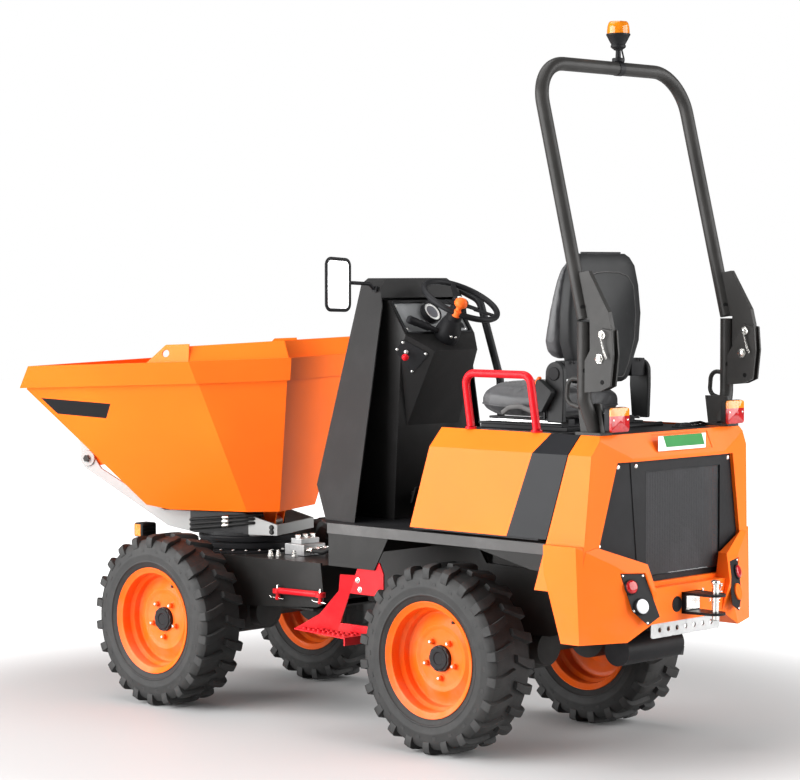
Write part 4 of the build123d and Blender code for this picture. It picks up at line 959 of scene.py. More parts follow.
@dataclass
class Tyre:
    """A tyre with deep lugs in two rows, half a pitch apart; widths run out from the tyre's middle."""

    end: str
    side: str
    half_section: Pairs = (
        (72.5, 190.5), (84.5, 205), (90, 210), (97.5, 225), (100.5, 229), (103.2, 230.5), (103.6, 234),
        (102.2, 236.5), (104.2, 254), (105.3, 258), (105.3, 264), (103.6, 268), (103, 285), (96, 305),
        (84, 318), (60, 322), (0, 323),
    )
    lug_rows: tuple[tuple[float, ...], ...] = (
        (103.4, 290, 98, 287, 16.0, 18.5, 0), (105.3, 298, 96, 298, 17.0, 19.5, 0),
        (105.1, 317, 88, 310, 17.0, 20.0, 0), (101.5, 328.5, 80, 314, 17.0, 20.0, 0),
        (92, 335, 74, 316, 16.5, 20.0, 1), (76, 337, 68, 317, 16.0, 20.0, 4),
        (58, 337.8, 56, 318, 15.5, 20.0, 9), (40, 338, 39, 318, 14.5, 19.0, 16),
        (22, 338, 21, 318, 13.5, 18.0, 24), (6, 337.6, 2, 317, 12.0, 17.0, 31),
    )

    def build(self) -> bpy.types.Object:
        """Make the tyre.

        A lug's point at width w and radius r, t millimetres round from the lug's middle, lies at
        (r cos a, w, r sin a) with a = a0 - (t + shift) / 338.

        Returns:
            The tyre.
        """
        out = SIDES[self.side]
        centre = np.array([ENDS[self.end] * WHEEL_X, out * WHEEL_Y, WHEEL_Z])
        piece = Builder(f"{self.end}_{self.side}_tyre_rubber")
        half = list(self.half_section)
        ring = half + [(-width, radius) for width, radius in reversed(half[:-1])]
        piece.revolve(ring, centre, (0, 1, 0), 132, closed=True)
        rows = np.array(self.lug_rows)
        top_w, top_r, base_w, base_r, half_top, half_base, shift = rows.T[:, :, None]
        width = np.hstack([base_w, top_w, top_w, top_w, base_w])
        radius = np.hstack([base_r, top_r, top_r + 0.4, top_r, base_r])
        around = np.hstack([-half_base, -half_top, 0 * half_top, half_top, half_base]) + shift
        for index in range(2 * LUGS):
            towards = out if index % 2 == 0 else -out
            angle = -pi / 2 + index * pi / LUGS - around / WHEEL_Z
            points = np.stack([radius * np.cos(angle), towards * width, radius * np.sin(angle)], -1)
            piece.grid(centre + points, wrap_cols=True, caps=True)
        self.knurl(piece, centre)
        return piece.make(f"{self.end}_{self.side}_wheel", Finish.RUBBER, [f"{self.end}_{self.side}_tyre"],
                          smooth=38, bevel=1.8)

    def knurl(self, piece: Builder, centre: Array) -> None:
        """Add the short ribs round both side walls, between the lugs' outer ends.

        Args:
            piece: the builder of the tyre.
            centre: the wheel's middle.
        """
        for index in range(2 * LUGS):
            side = 1 if (index % 2 == 0) == (SIDES[self.side] > 0) else -1
            along, round_ = spoke(-pi / 2 + (index + 1) * pi / LUGS)
            foot = centre + along * 271 + (0, side * 102.6, 0)
            head = centre + along * 283 + (0, side * 101.6, 0)
            ring = [foot - round_ * 9, foot + round_ * 9, head + round_ * 9, head - round_ * 9]
            piece.plate(ring, (0, side * 2.2, 0))


@dataclass
class Wheel:
    """A pressed steel disc wheel with five studs, seen from both sides."""

    end: str
    side: str
    section: Pairs = (
        (93.5, 209), (94.5, 207), (93, 204.5), (88, 198), (83, 187), (78, 185), (47, 184.5), (42, 181),
        (34, 173), (28, 171.5), (12, 170), (9, 167), (8.5, 160), (12, 151), (23, 125), (26.5, 119), (26, 112),
        (22.5, 105), (22, 99), (22, 47), (14, 47), (14, 99), (17, 112), (19, 118), (4, 150), (1, 160),
        (1, 166), (-2, 170), (-28, 171.5), (-34, 173), (-42, 181), (-47, 184.5), (-78, 185), (-83, 187),
        (-88, 198), (-93, 204.5), (-94.5, 207), (-93.5, 209), (-90, 209.5), (-86, 207), (-84.5, 200),
        (-80, 189.6), (-46, 189), (-30, 177), (30, 177), (46, 189), (80, 189.6), (84.5, 200), (86, 207),
        (90, 209.5),
    )
    studs: int = 5
    stud_circle: float = 70.0
    first_stud: float = 54.0

    def build(self) -> None:
        """Make the painted wheel with its nuts, the stud tips and the hub cap."""
        out = SIDES[self.side]
        centre = np.array([ENDS[self.end] * WHEEL_X, out * WHEEL_Y, WHEEL_Z])
        body, name, axis = f"{self.end}_{self.side}_wheel", f"{self.end}_{self.side}", (0, out, 0)
        disc, tips, cap = (Builder(f"{name}_{piece}") for piece in ("wheel_disc", "stud_tips", "hub_cap"))
        disc.revolve(self.section, centre, axis, 96, closed=True)
        for index in range(self.studs):
            at = centre + spoke(radians(self.first_stud + index * 360 / self.studs))[0] * self.stud_circle
            disc.revolve([(21.5, 14), (23.2, 14), (24, 12.8)], at, axis, 24)
            disc.revolve([(23.5, 10.8), (34, 10.8), (36.5, 8.6)], at, axis, 6)
            tips.revolve([(30, 5.6), (41, 5.6), (42.5, 4.4)], at, axis, 16)
        valve = centre + np.array([cos(2.2) * 176, out * 40, sin(2.2) * 176])
        cap.revolve([(0, 4.5), (26, 4.5), (27, 6), (38, 6), (39, 5)], valve, axis, 12)
        cap.revolve([(13, 47.2), (30, 47.2), (32, 46), (33, 41), (38, 40), (40, 38), (40, 24), (37, 21),
                     (37, 0)], centre, axis, 48)
        for index in range(10):
            along, round_ = spoke(index * pi / 5)
            ring = [centre + along * r + round_ * t + np.array([0, out * 31, 0])
                    for r, t in ((39, -6), (46.4, -7), (46.4, 7), (39, 6))]
            cap.plate(ring, (0, out * 6.5, 0))
        disc.make(body, Finish.WHEEL, [f"{name}_rim"], smooth=32, bevel=0.6, segments=1)
        tips.make(body, Finish.ZINC, bevel=0.4, segments=1)
        cap.make(body, Finish.BLACK, slot="black_plastic", bevel=0.6, segments=1)


# ---------------------------------------------------------------- tail
def plane_at(points: Sequence[Point], y: float, z: float, sunk: float = 0.0, side: float = 1.0) -> Array:
    """Return the point at y and z on the plane through three points, moved along its normal towards +X.

    Args:
        points: three points of the plane on the left side.
        y, z: where the point lies on the left side.
        sunk: how far behind the plane.
        side: 1 for the left side, -1 for its mirror image.

    Returns:
        The point.
    """
    a, b, c = (np.asarray(p, float) for p in points)
    normal = unit(np.cross(b - a, c - a))
    normal = normal if normal[0] > 0 else -normal
    x = a[0] - (normal[1] * (y - a[1]) + normal[2] * (z - a[2])) / normal[0]
    point = np.array([x, y, z]) + normal * sunk
    return point * (1, side, 1)


def plane_out(points: Sequence[Point], side: float = 1.0) -> Array:
    """Return the plane's normal that points to the rear.

    Args:
        points: three points of the plane on the left side.
        side: 1 for the left side, -1 for its mirror image.

    Returns:
        The unit normal.
    """
    a, b, c = (np.asarray(p, float) for p in points)
    normal = unit(np.cross(b - a, c - a))
    return (normal if normal[0] < 0 else -normal) * (1, side, 1)


@dataclass
class Grille:
    """The folded bezel in the hood's recess, its perforated sheet and the radiator behind it."""

    face: float = -1438.0
    slope: float = 0.208
    fold_top: float = 260.6
    mesh_y: Pair = (-252.0, 172.0)
    mesh_z: Pair = (662.0, 1024.0)
    outline: Pairs = ((642, 329.5), (775, 399.5), (1061.5, 327.6))
    pitch: float = 4.0

    def fold(self, z: float) -> float:
        """Return the half width of the fold at a height."""
        return self.fold_top + (z - 1062) * 0.107

    def point(self, y: float, z: float, sunk: float = 0.0) -> tuple[float, float, float]:
        """Return the point of the bezel's face at y and z."""
        return (self.face + sunk + max(0.0, abs(y) - self.fold(z)) * self.slope, y, z)

    def build(self) -> None:
        """Make the bezel, the sheet, the bolts and the radiator."""
        self.bezel()
        self.sheet()
        bolts = Builder("grille_bolts")
        for y, z in ((312, 1046), (228, 1046), (-312, 1046), (388, 779), (-306, 668)):
            bolts.dome(self.point(y, z), (-1, 0.2 if y > 260 else 0.0, 0), 8.5)
        bolts.make(REAR, Finish.ZINC)

    def bezel(self) -> None:
        """Make the folded plate with its opening, with a raised fold line and a return round the opening."""
        heights = np.array([642.3, 662.0, 775.0, 1024.0, 1061.5])
        half = np.interp(heights, [row[0] for row in self.outline], [row[1] for row in self.outline])
        (right, left), plate = self.mesh_y, Builder("grille_bezel")
        for back in (0.0, 3.0):
            columns = []
            for z, w in zip(heights, half):
                stops = (w, self.fold(z), left, right, -max(self.fold(z), 256.0), -w)
                columns.append([self.point(y, z, back) for y in stops])
            grid = np.array(columns)
            plate.grid(grid[:, :3])
            plate.grid(grid[:, 3:])
            plate.grid(grid[:2, 2:4])
            plate.grid(grid[3:, 2:4])
        (low, high), deep = self.mesh_z, 12.0
        x = self.face
        for y0, y1, z0, z1 in ((left, left + 2, low, high), (right - 2, right, low, high),
                               (right, left, high, high + 2), (right, left, low - 2, low)):
            plate.box((x + 0.4, x + deep), (y0, y1), (z0, z1))
        plate.make(REAR, Finish.PLASTIC, ["grille"], smooth=15)
        rib = Builder("grille_fold_rib")
        path = np.array([self.point(self.fold(z), z, -0.6) for z in (644, 850, 1060)])
        rib.sweep(path, 2.2, 10)
        rib.make(REAR, Finish.PLASTIC)

    def sheet(self) -> None:
        """Make the perforated sheet as crossing strips, and the dark radiator core behind it."""
        (right, left), (low, high) = self.mesh_y, self.mesh_z
        x, mesh, thin = self.face + 7.0, Builder("grille_sheet"), 0.85
        for z in np.arange(low + self.pitch, high, self.pitch):
            mesh.box((x, x + 1.0), (right, left), (z - thin, z + thin))
        for y in np.arange(right + self.pitch, left, self.pitch):
            mesh.box((x + 0.2, x + 1.2), (y - thin, y + thin), (low, high))
        mesh.make(REAR, Finish.SHEET)
        core = Builder("radiator_core")
        core.box((x + 40, x + 46), (right - 4, left + 4), (low - 4, high + 4))
        for y in np.arange(right + 6, left, 14.0):
            core.box((x + 36, x + 40.5), (y - 1.6, y + 1.6), (low, high))
        core.make(REAR, Finish.IRON, bevel=0.4, segments=1)
        # painted shade: the post wears a dark orange for the shade behind the sheet
        post = Builder("radiator_post")
        post.box((x + 10, x + 34), (right + 22, right + 42), (low, high))
        post.make(REAR, Finish.SHADED_POST, bevel=1.0)


@dataclass
class TailTrim:
    """What the tail casting carries: lamp plates, lamps, plugs, the drilled plate and the towing jaw."""

    face: tuple[Point, ...] = ((-1451, 354, 714), (-1490, 225, 708), (-1502, 292, 573))
    plate: Pairs = ((335, 688), (242, 683), (210, 537), (262, 511), (314, 562))
    red_at: Pair = (304, 642)
    white_at: Pair = (277, 575)
    beam_x: float = -1494.0

    def build(self) -> None:
        """Make every piece."""
        for label, side in SIDES.items():
            self.lamps(label, side)
        self.plugs()
        self.jaw()

    def lamps(self, label: str, side: float) -> None:
        """Make one dark plate with its two lamps; the right one has a blank cover in place of the lower lamp.

        Args:
            label: the side's name, for the pieces' names.
            side: 1 for the left, -1 for the right.
        """
        out = plane_out(self.face, side)
        plate = Builder(f"tail_lamp_plate_{label}")
        ring = [plane_at(self.face, y, z, 8.7, side) for y, z in self.plate]
        plate.plate(ring, out * 2.4)
        plate.make(REAR, Finish.PLASTIC, bevel=0.8)
        red, white = (plane_at(self.face, y, z, 6.3, side) for y, z in (self.red_at, self.white_at))
        rings = Builder(f"tail_lamp_rings_{label}")
        rings.revolve([(0, 27), (5, 27), (7, 25.5), (7, 23.5), (3, 23)], red, out, 40)
        lens = Builder(f"tail_red_lens_{label}")
        dome = [(2, 23), (7, 23), (10, 21.5), (12, 17), (13, 9), (13.3, 0)]
        lens.revolve(dome, red, out, 40)
        lens.make(REAR, Finish.RED_LENS, smooth=50)
        if side > 0:
            rings.revolve([(0, 29), (8, 29), (10.5, 28), (10.5, 26), (4, 25.5)], white, out, 40)
            glass = Builder("reversing_lamp_lens")
            glass.revolve([(4, 25.6), (9, 25.6), (12, 23), (14, 16), (14.6, 6), (14.6, 0)], white, out, 40)
            glass.make(REAR, Finish.CLEAR, smooth=50)
        else:
            cover = Builder("blank_lamp_cover")
            cover.revolve([(0, 30), (5, 30), (7, 28.5), (7, 21), (5.8, 20), (5.8, 6), (7, 5), (7, 0)], white,
                          out, 40)
            cover.make(REAR, Finish.BODY, bevel=0.5)
        rings.make(REAR, Finish.PLASTIC, smooth=40)
        screws = Builder(f"tail_plate_screws_{label}")
        for y, z in ((328, 681), (249, 677), (263, 519), (307, 563)):
            screws.dome(plane_at(self.face, y, z, 6.3, side), out, 4.6)
        screws.make(REAR, Finish.ZINC)

    def plugs(self) -> None:
        """Make the dark plug in the beam's hole and the drilled plate below the beam."""
        plug = Builder("beam_plug")
        plug.revolve([(-9, 26.6), (1.2, 26.6), (2.0, 25.8), (1.0, 22), (-0.6, 20), (-0.6, 0)],
                     (self.beam_x, 68, 562), (-1, 0, 0), 40)
        plug.make(REAR, Finish.BLACK, slot="black_plastic")
        apron = Builder("drilled_plate")
        front, back = self.beam_x + 13.8, self.beam_x + 19.6
        apron.perforated(front, back, (-196.0, 196.0), (452.2, 504.6),
                         [((index - 3) * 49.0, 478.4, 9.0) for index in range(7)])
        apron.make(REAR, Finish.DRILLED, bevel=0.6)

    def jaw(self) -> None:
        """Make the towing jaw: web with its bright plate, two rounded plates, drop pin, clip and chain."""
        jaw = Builder("hitch_jaw_plates")
        front, centre, half = -1494.3, -1599.0, 42.0
        t = np.linspace(pi / 2, 3 * pi / 2, 17)
        rounding = [(front, half), *[(centre + half * cos(k), half * sin(k)) for k in t], (front, -half)]
        for low in (528, 592):
            jaw.plate([(x, y, low) for x, y in rounding], (0, 0, 9))
        jaw.box((front - 15.6, front), (-42, 42), (528, 601))
        jaw.make(REAR, Finish.BLACK, ["tow_hitch"], bevel=1.5)
        bright, pin_x = Builder("hitch_pin_and_web"), centre - 8
        bright.box((front - 18, front - 15.7), (-37, 37), (540, 589))
        bright.revolve([(-20, 8), (-16, 11.8), (106, 11.8), (106.5, 16), (112, 17), (118, 15), (121, 9),
                        (121.5, 0)], (pin_x, 0, 528), (0, 0, 1), 32)
        bright.tube([(pin_x, -3, 634), (pin_x, -30, 638), (pin_x + 7, -39, 612), (pin_x + 12, -24, 603)], 10,
                    2.2, 10)
        bright.make(REAR, Finish.ZINC, bevel=0.8)
        chain = Builder("hitch_chain")
        for index in range(9):
            t = index / 8
            at = np.array([-1520 - 80 * t, -44 - 22 * sin(pi * t), 606 - 60 * sin(pi * t) + 22 * t])
            chain.link(at, (0.2, 0.3, 1.0) if index % 2 else (0.9, 0.2, 0.4), (8, 5), 1.5, 14)
        chain.make(REAR, Finish.ZINC, smooth=60)


@dataclass
class TailLamp:
    """A three-chamber lamp on the deck: black housing, red body and amber top third; its white inner edge is
    not drawn.
    """

    label: str
    x: float = -1452.0
    y: float = 329.0
    z: Pair = (1167.0, 1250.0)

    def build(self) -> None:
        """Make the lamp with its two screws."""
        side = SIDES[self.label]
        y, foot = side * self.y, self.z[0]
        lens = Builder(f"tail_lamp_lens_{self.label}")
        outline = rounded_rectangle(self.x + 10, (y - 49, y + 49), self.z, 10, 5)
        middle = outline.mean(0)
        rows = [middle + (outline - middle) * (1, s, s) + (d, 0, 0) for d, s in
                ((0, 1.0), (-6, 1.0), (-9, 0.985), (-10.0, 0.95), (-10.0, 0.0))]
        lens.grid(np.stack(rows), wrap_cols=True)
        lens.make(REAR, Finish.TAIL_LENS, ["tail_lamps"] if side > 0 else [], smooth=40)
        case = Builder(f"tail_lamp_case_{self.label}")
        back = middle + (outline - middle) * (1, 1.02, 1.02)
        end = middle + (back - middle) * (1, 0.9, 0.9) + (26, 0, 0)
        case.grid(np.stack([back + (1, 0, 0), back + (20, 0, 0), end]), wrap_cols=True, caps=True)
        case.box((self.x + 30, self.x + 40), (y - 30, y + 30), (foot + 10, foot + 50))
        case.box((self.x + 36, self.x + 58), sorted((side * 355.7, side * 345.7)), (1175, 1215))
        case.make(REAR, Finish.PLASTIC, bevel=1.2)
        screws = Builder(f"tail_lamp_screws_{self.label}")
        for edge in (-38, 38):
            screws.dome((self.x + 0.2, y + edge, 1208), (-1, 0, 0), 3.6)
        screws.make(REAR, Finish.ZINC)


@dataclass
class Beacon:
    """The rotating beacon on the hoop: clamp, stalk, ribbed base and amber lens; its dark cap is not drawn.
    """

    x: float = -1133.0
    y: float = -50.0
    foot: float = 2452.0

    def build(self) -> None:
        """Make the beacon."""
        at, up = np.array([self.x, self.y, self.foot]), (0, 0, 1)
        base = Builder("beacon_base")
        base.revolve([(0.3, 22), (12, 22), (14, 20), (14, 10), (40, 9), (42, 16), (60, 24), (78, 34),
                      (92, 41), (94, 43), (99, 43), (100, 41)], at, up, 48)
        base.revolve([(46, 20), (52, 27), (58, 27), (62, 24)], at, up, 48)
        base.tube([(self.x, self.y - 22, self.foot - 8), (self.x, self.y - 34, self.foot + 8),
                   (self.x, self.y - 20, self.foot + 44)], 12, 3.2, 12)
        base.make("hoop_frame", Finish.PLASTIC, ["beacon"], bevel=0.8)
        lens = Builder("beacon_lens")
        lens.revolve([(99, 40), (108, 40.5), (126, 38.5), (138, 35), (143, 30), (144, 22), (144, 0)], at, up,
                     48)
        lens.make("hoop_frame", Finish.AMBER, smooth=50)
        strap = Builder("beacon_clamp")
        strap.revolve([(-14, 25.8), (14, 25.8), (14, 24.2), (-14, 24.2)], (self.x, self.y, self.foot - 24),
                      (0, 1, 0), 36, closed=True)
        strap.make("hoop_frame", Finish.BLACK)


# ---------------------------------------------------------------- seat
def swell(piece: bpy.types.Object, cap: float, voxel: float = 6.0, pressure: float = 4.0,
          frames: int = 20) -> None:
    """Puff a closed mesh up like stuffed cloth: remesh it, blow it up with Cloth and keep the result.

    Args:
        piece: the object, whose mesh is changed.
        cap: how far a point may move, in millimetres.
        voxel: the size of the remeshed quads, in millimetres.
        pressure: the pressure inside.
        frames: how many frames the simulation runs.
    """
    scene = bpy.context.scene
    remesh = piece.modifiers.new("remesh", "REMESH")
    remesh.mode, remesh.voxel_size, remesh.use_smooth_shade = "VOXEL", voxel * MM, True
    fine = bpy.data.meshes.new_from_object(piece.evaluated_get(bpy.context.evaluated_depsgraph_get()))
    piece.modifiers.clear()
    piece.data = fine
    rest = np.empty(len(fine.vertices) * 3)
    fine.vertices.foreach_get("co", rest)
    cloth = piece.modifiers.new("stuffing", "CLOTH")
    cloth.settings.use_pressure = True
    cloth.settings.uniform_pressure_force = pressure
    cloth.settings.effector_weights.gravity = 0.0
    for index in range(1, frames + 1):
        scene.frame_set(index)
    blown = piece.evaluated_get(bpy.context.evaluated_depsgraph_get())
    moved = np.empty(len(rest))
    blown.data.vertices.foreach_get("co", moved)
    piece.modifiers.clear()
    scene.frame_set(1)
    rest, moved = rest.reshape(-1, 3), moved.reshape(-1, 3)
    step = moved - rest
    length = np.linalg.norm(step, axis=1)[:, None]
    step *= np.minimum(1.0, cap * MM / np.maximum(length, 1e-9))
    fine.vertices.foreach_set("co", (rest + step).ravel())
    fine.update()


def superellipse(half_x: float, half_y: float, power: float, count: int) -> Array:
    """Return the points of |x / a|^p + |y / b|^p = 1, once round.

    Args:
        half_x, half_y: a and b.
        power: p, where 2 is an ellipse and more is squarer.
        count: how many points.

    Returns:
        The points, one row each.
    """
    t = np.linspace(0, 2 * pi, count, endpoint=False)
    c, s = np.cos(t), np.sin(t)
    x, y = (np.sign(v) * np.abs(v) ** (2 / power) for v in (c, s))
    return np.stack([half_x * x, half_y * y], 1)


@dataclass
class Seat:
    """The driver's seat: padded cushion and back, the moulded back shell, hinge covers, rails and the buckle.

    A row of the cushion holds x, half width, foot and head; a row of the back or the shell holds z, front x,
    rear x and half width.
    """

    cushion_rows: Quads = (
        (-1030, 196, 1204, 1272), (-1014, 212, 1199, 1283), (-960, 222, 1197, 1289), (-880, 226, 1197, 1291),
        (-800, 228, 1197, 1297), (-756, 226, 1198, 1301), (-726, 220, 1202, 1296), (-708, 208, 1212, 1280),
        (-702, 190, 1226, 1262),
    )
    back_rows: Quads = (
        (1398, -1010, -1050, 150), (1406, -986, -1056, 168), (1424, -970, -1060, 180),
        (1460, -966, -1062, 190), (1500, -976, -1064, 194), (1560, -990, -1066, 193),
        (1620, -1004, -1068, 188), (1680, -1018, -1070, 178), (1720, -1030, -1072, 166),
        (1746, -1046, -1074, 148), (1756, -1056, -1072, 130),
    )
    shell_rows: Quads = (
        (1314, -1066, -1100, 128), (1324, -1062, -1112, 142), (1340, -1060, -1120, 152),
        (1400, -1056, -1126, 172), (1462, -1056, -1130, 198), (1560, -1060, -1133, 204),
        (1660, -1064, -1131, 191), (1730, -1068, -1127, 172), (1760, -1074, -1118, 150),
        (1773, -1086, -1108, 128),
    )

    def build(self) -> None:
        """Make every piece of the seat."""
        self.cushion()
        self.back()
        self.shell()
        self.base()
        self.buckle()

    def level_loops(self, sizes: Sequence[Point], power: float, count: int, bulge: float = 0.0) -> Array:
        """Return level superellipse loops, one for each row of z, front x, rear x and half width.

        Args:
            sizes: the rows.
            power: the superellipse's power.
            count: points once round.
            bulge: how far the front's middle lies behind its edges' line.

        Returns:
            The grid of points.
        """
        rows = []
        for z, front, rear, half in sizes:
            loop = superellipse((front - rear) / 2, half, power, count)
            loop[:, 0] -= (1 - (loop[:, 1] / half) ** 2) * bulge * (loop[:, 0] > 0)
            rows.append(np.column_stack([loop[:, 0] + (front + rear) / 2, loop[:, 1], np.full(count, z)]))
        return np.stack(rows)

    def cushion(self) -> None:
        """Make the padded cushion with its welt and its two sewn channels."""
        rows = []
        for x, half, foot, head in self.cushion_rows:
            loop = superellipse(half, (head - foot) / 2, 3.6, 72)
            loop[:, 1] += (1 - (loop[:, 0] / half) ** 2) * 5 * (loop[:, 1] > 0)
            rows.append(np.column_stack([np.full(72, x), loop[:, 0], loop[:, 1] + (foot + head) / 2]))
        pad = Builder("seat_cushion_pad")
        pad.grid(np.stack(rows), wrap_cols=True, caps=True)
        made = pad.make(REAR, Finish.VINYL, ["seat_cushion"], smooth=60, padded=9.0)
        welt = Builder("seat_cushion_welt")
        outline = [(x, half + 1, foot * 0.72 + head * 0.28) for x, half, foot, head in self.cushion_rows]
        outline += [(x, -y, z) for x, y, z in reversed(outline)]
        welt.sweep(hug(made, filleted(outline, 6, 3, closed=True), 0.6), 2.6, 8, closed=True)
        for y in (-128, 128):
            path = [(x, y, 1330.0) for x in np.linspace(-1010, -712, 40)]
            welt.sweep(hug(made, np.array(path), 0.2), 1.6, 8)
        welt.make(REAR, Finish.VINYL, smooth=60)
        lever = Builder("seat_adjuster_handle")
        curve = filleted([(-985, 244, 1216), (-930, 246, 1232), (-880, 246, 1228), (-846, 245, 1206)], 40, 6)
        lever.sweep(curve, superellipse(4.0, 9.0, 2.5, 16), up=(0, 0, 1))
        lever.make(REAR, Finish.SILL, smooth=50)

    def back(self) -> None:
        """Make the padded front of the back, deep at the loins, with its welt and a sewn channel."""
        pad = Builder("seat_back_pad")
        pad.grid(self.level_loops(self.back_rows, 3.4, 72, 7), wrap_cols=True, caps=True)
        made = pad.make(REAR, Finish.VINYL, ["seat_back"], smooth=60, padded=8.0)
        seams = Builder("seat_back_seams")
        for z in (1506.0, 1640.0):
            path = [(-900.0, y, z + 10 * (y / 150) ** 2) for y in np.linspace(-158, 158, 48)]
            seams.sweep(hug(made, np.array(path), 0.2), 1.6, 8)
        seams.make(REAR, Finish.VINYL, smooth=60)

    def shell(self) -> None:
        """Make the moulded shell behind the pad, with its arched raised field and its tab."""
        shell = Builder("seat_back_shell")
        shell.grid(self.level_loops(self.shell_rows, 5.0, 64), wrap_cols=True, caps=True)
        shell.make(REAR, Finish.SHELL, smooth=40, bevel=1.0, segments=1)
        half = [(0, 1706), (60, 1704), (112, 1690), (140, 1655), (150, 1560), (146, 1470), (120, 1380),
                (98, 1336)]
        whole = half + [(-y, z) for y, z in half[:0:-1]]
        outline = filleted([(y, z, 0) for y, z in whole], 14, 4, closed=True)
        field, edge = Builder("seat_back_field"), Builder("seat_back_field_edge")
        rear = np.interp(outline[:, 1], [row[0] for row in self.shell_rows],
                         [row[2] for row in self.shell_rows])
        ring = np.column_stack([rear, outline[:, 0], outline[:, 1]])
        middle = ring.mean(0)
        steps = ((1.0, 3.0), (1.0, -3.0), (0.97, -5.5))
        rows = [middle + (ring - middle) * (1, s, s) + (d, 0, 0) for s, d in steps]
        field.grid(np.stack(rows), wrap_cols=True, caps=True)
        field.make(REAR, Finish.SHELL, smooth=40)
        edge.sweep(middle + (ring - middle) * (1, 1.015, 1.015) + (-0.5, 0, 0), 2.0, 8, closed=True)
        edge.make(REAR, Finish.SILL, smooth=60)
        tab = Builder("seat_back_tab")
        tab.box((-1110, -1082), (-96, 96), (1768, 1779))
        for y in (-196, 196):
            tab.dome((-1128, y * 0.95, 1392), (-1, 0, 0), 7)
        tab.make(REAR, Finish.PLASTIC, bevel=3.0, segments=3)

    def base(self) -> None:
        """Make the plinth, the slide rails, and the tall hinge covers with their pivot caps."""
        base = Builder("seat_plinth")
        base.box((-1128, -722), (-222, 222), (1149.6, 1164))
        base.box((-1112, -716), (-228, 228), (1164, 1171))
        for y in (-170, 170):
            base.box((-1105, -732), (y - 18, y + 18), (1170, 1190.4))
        for y0, y1 in ((-226, -150), (150, 226)):
            base.box((-1119, -1075), (y0, y1), (1333, 1397))
        base.make(REAR, Finish.BLACK, ["seat_base"], bevel=2.0)
        rails = Builder("seat_slide_rails")
        for y in (-224, 224):
            rails.box((-1100, -735), (y - 3, y + 3), (1176, 1184))
        rails.make(REAR, Finish.STEEL, bevel=0.8)
        for label, side in SIDES.items():
            cover = Builder(f"seat_hinge_cover_{label}")
            t = np.linspace(0, pi, 15)
            arc = [(-1090 + 42 * cos(k), side * 228.0, 1352 + 42 * sin(k)) for k in t]
            ring = [(-1046, side * 228.0, 1300), *arc, (-1133, side * 228.0, 1300),
                    (-1128, side * 228.0, 1180), (-1056, side * 228.0, 1180)]
            cover.plate(ring, (0, side * 20, 0))
            cover.make(REAR, Finish.SHELL, bevel=5.0, segments=3)
            cap = Builder(f"seat_hinge_cap_{label}")
            cap.revolve([(0, 24), (3, 24), (5, 21), (5.5, 0)], (-1090, side * 247.6, 1352), (0, side, 0), 32)
            cap.make(REAR, Finish.PLASTIC, bevel=0.6)

    def buckle(self) -> None:
        """Make the belt's reel box at the left, on its strap, with its warning-coloured edge."""
        reel = Builder("belt_reel")
        ring = [(-1036, 254, 1338), (-1106, 254, 1291), (-1056, 254, 1214), (-1008, 254, 1241)]
        reel.plate(filleted(ring, 9, 4, closed=True), (0, 26, 0))
        reel.box((-1056, -1048), (248, 258), (1190, 1240))
        reel.make(REAR, Finish.SHELL, bevel=4.0, segments=3)
        strip = Builder("belt_reel_strip")
        strip.plate([(-1040, 262, 1342), (-1024, 262, 1322), (-1009, 262, 1262), (-1013, 262, 1262),
                     (-1032, 262, 1318), (-1046, 262, 1336)], (0, 16, 0))
        strip.make(REAR, Finish.ORANGE_PLASTIC, slot="red", bevel=1.0)


def hug(piece: bpy.types.Object, path: Array, proud: float) -> Array:
    """Return the path moved to the nearest points of a piece's skin, standing a little proud of it.

    Args:
        piece: the object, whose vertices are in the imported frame's metres.
        path: points in millimetres of the machine's frame.
        proud: how far outside the skin, in millimetres.

    Returns:
        The new points in millimetres.
    """
    mesh = piece.data
    tree = BVHTree.FromPolygons([v.co for v in mesh.vertices], [tuple(p.vertices) for p in mesh.polygons])
    rows = []
    for point in path:
        packed = (np.asarray(point, float) + (0, CENTRE_LINE_Y, 0)) * MM
        near, normal, _, _ = tree.find_nearest(Vector(packed))
        rows.append((np.array(near) + np.array(normal) * proud * MM) / MM - (0, CENTRE_LINE_Y, 0))
    return np.array(rows)


# ---------------------------------------------------------------- controls
HUB = np.array([-424.0, 0.0, 1601.0])
COLUMN_UP = np.array([-sin(radians(29.0)), 0.0, cos(radians(29.0))])


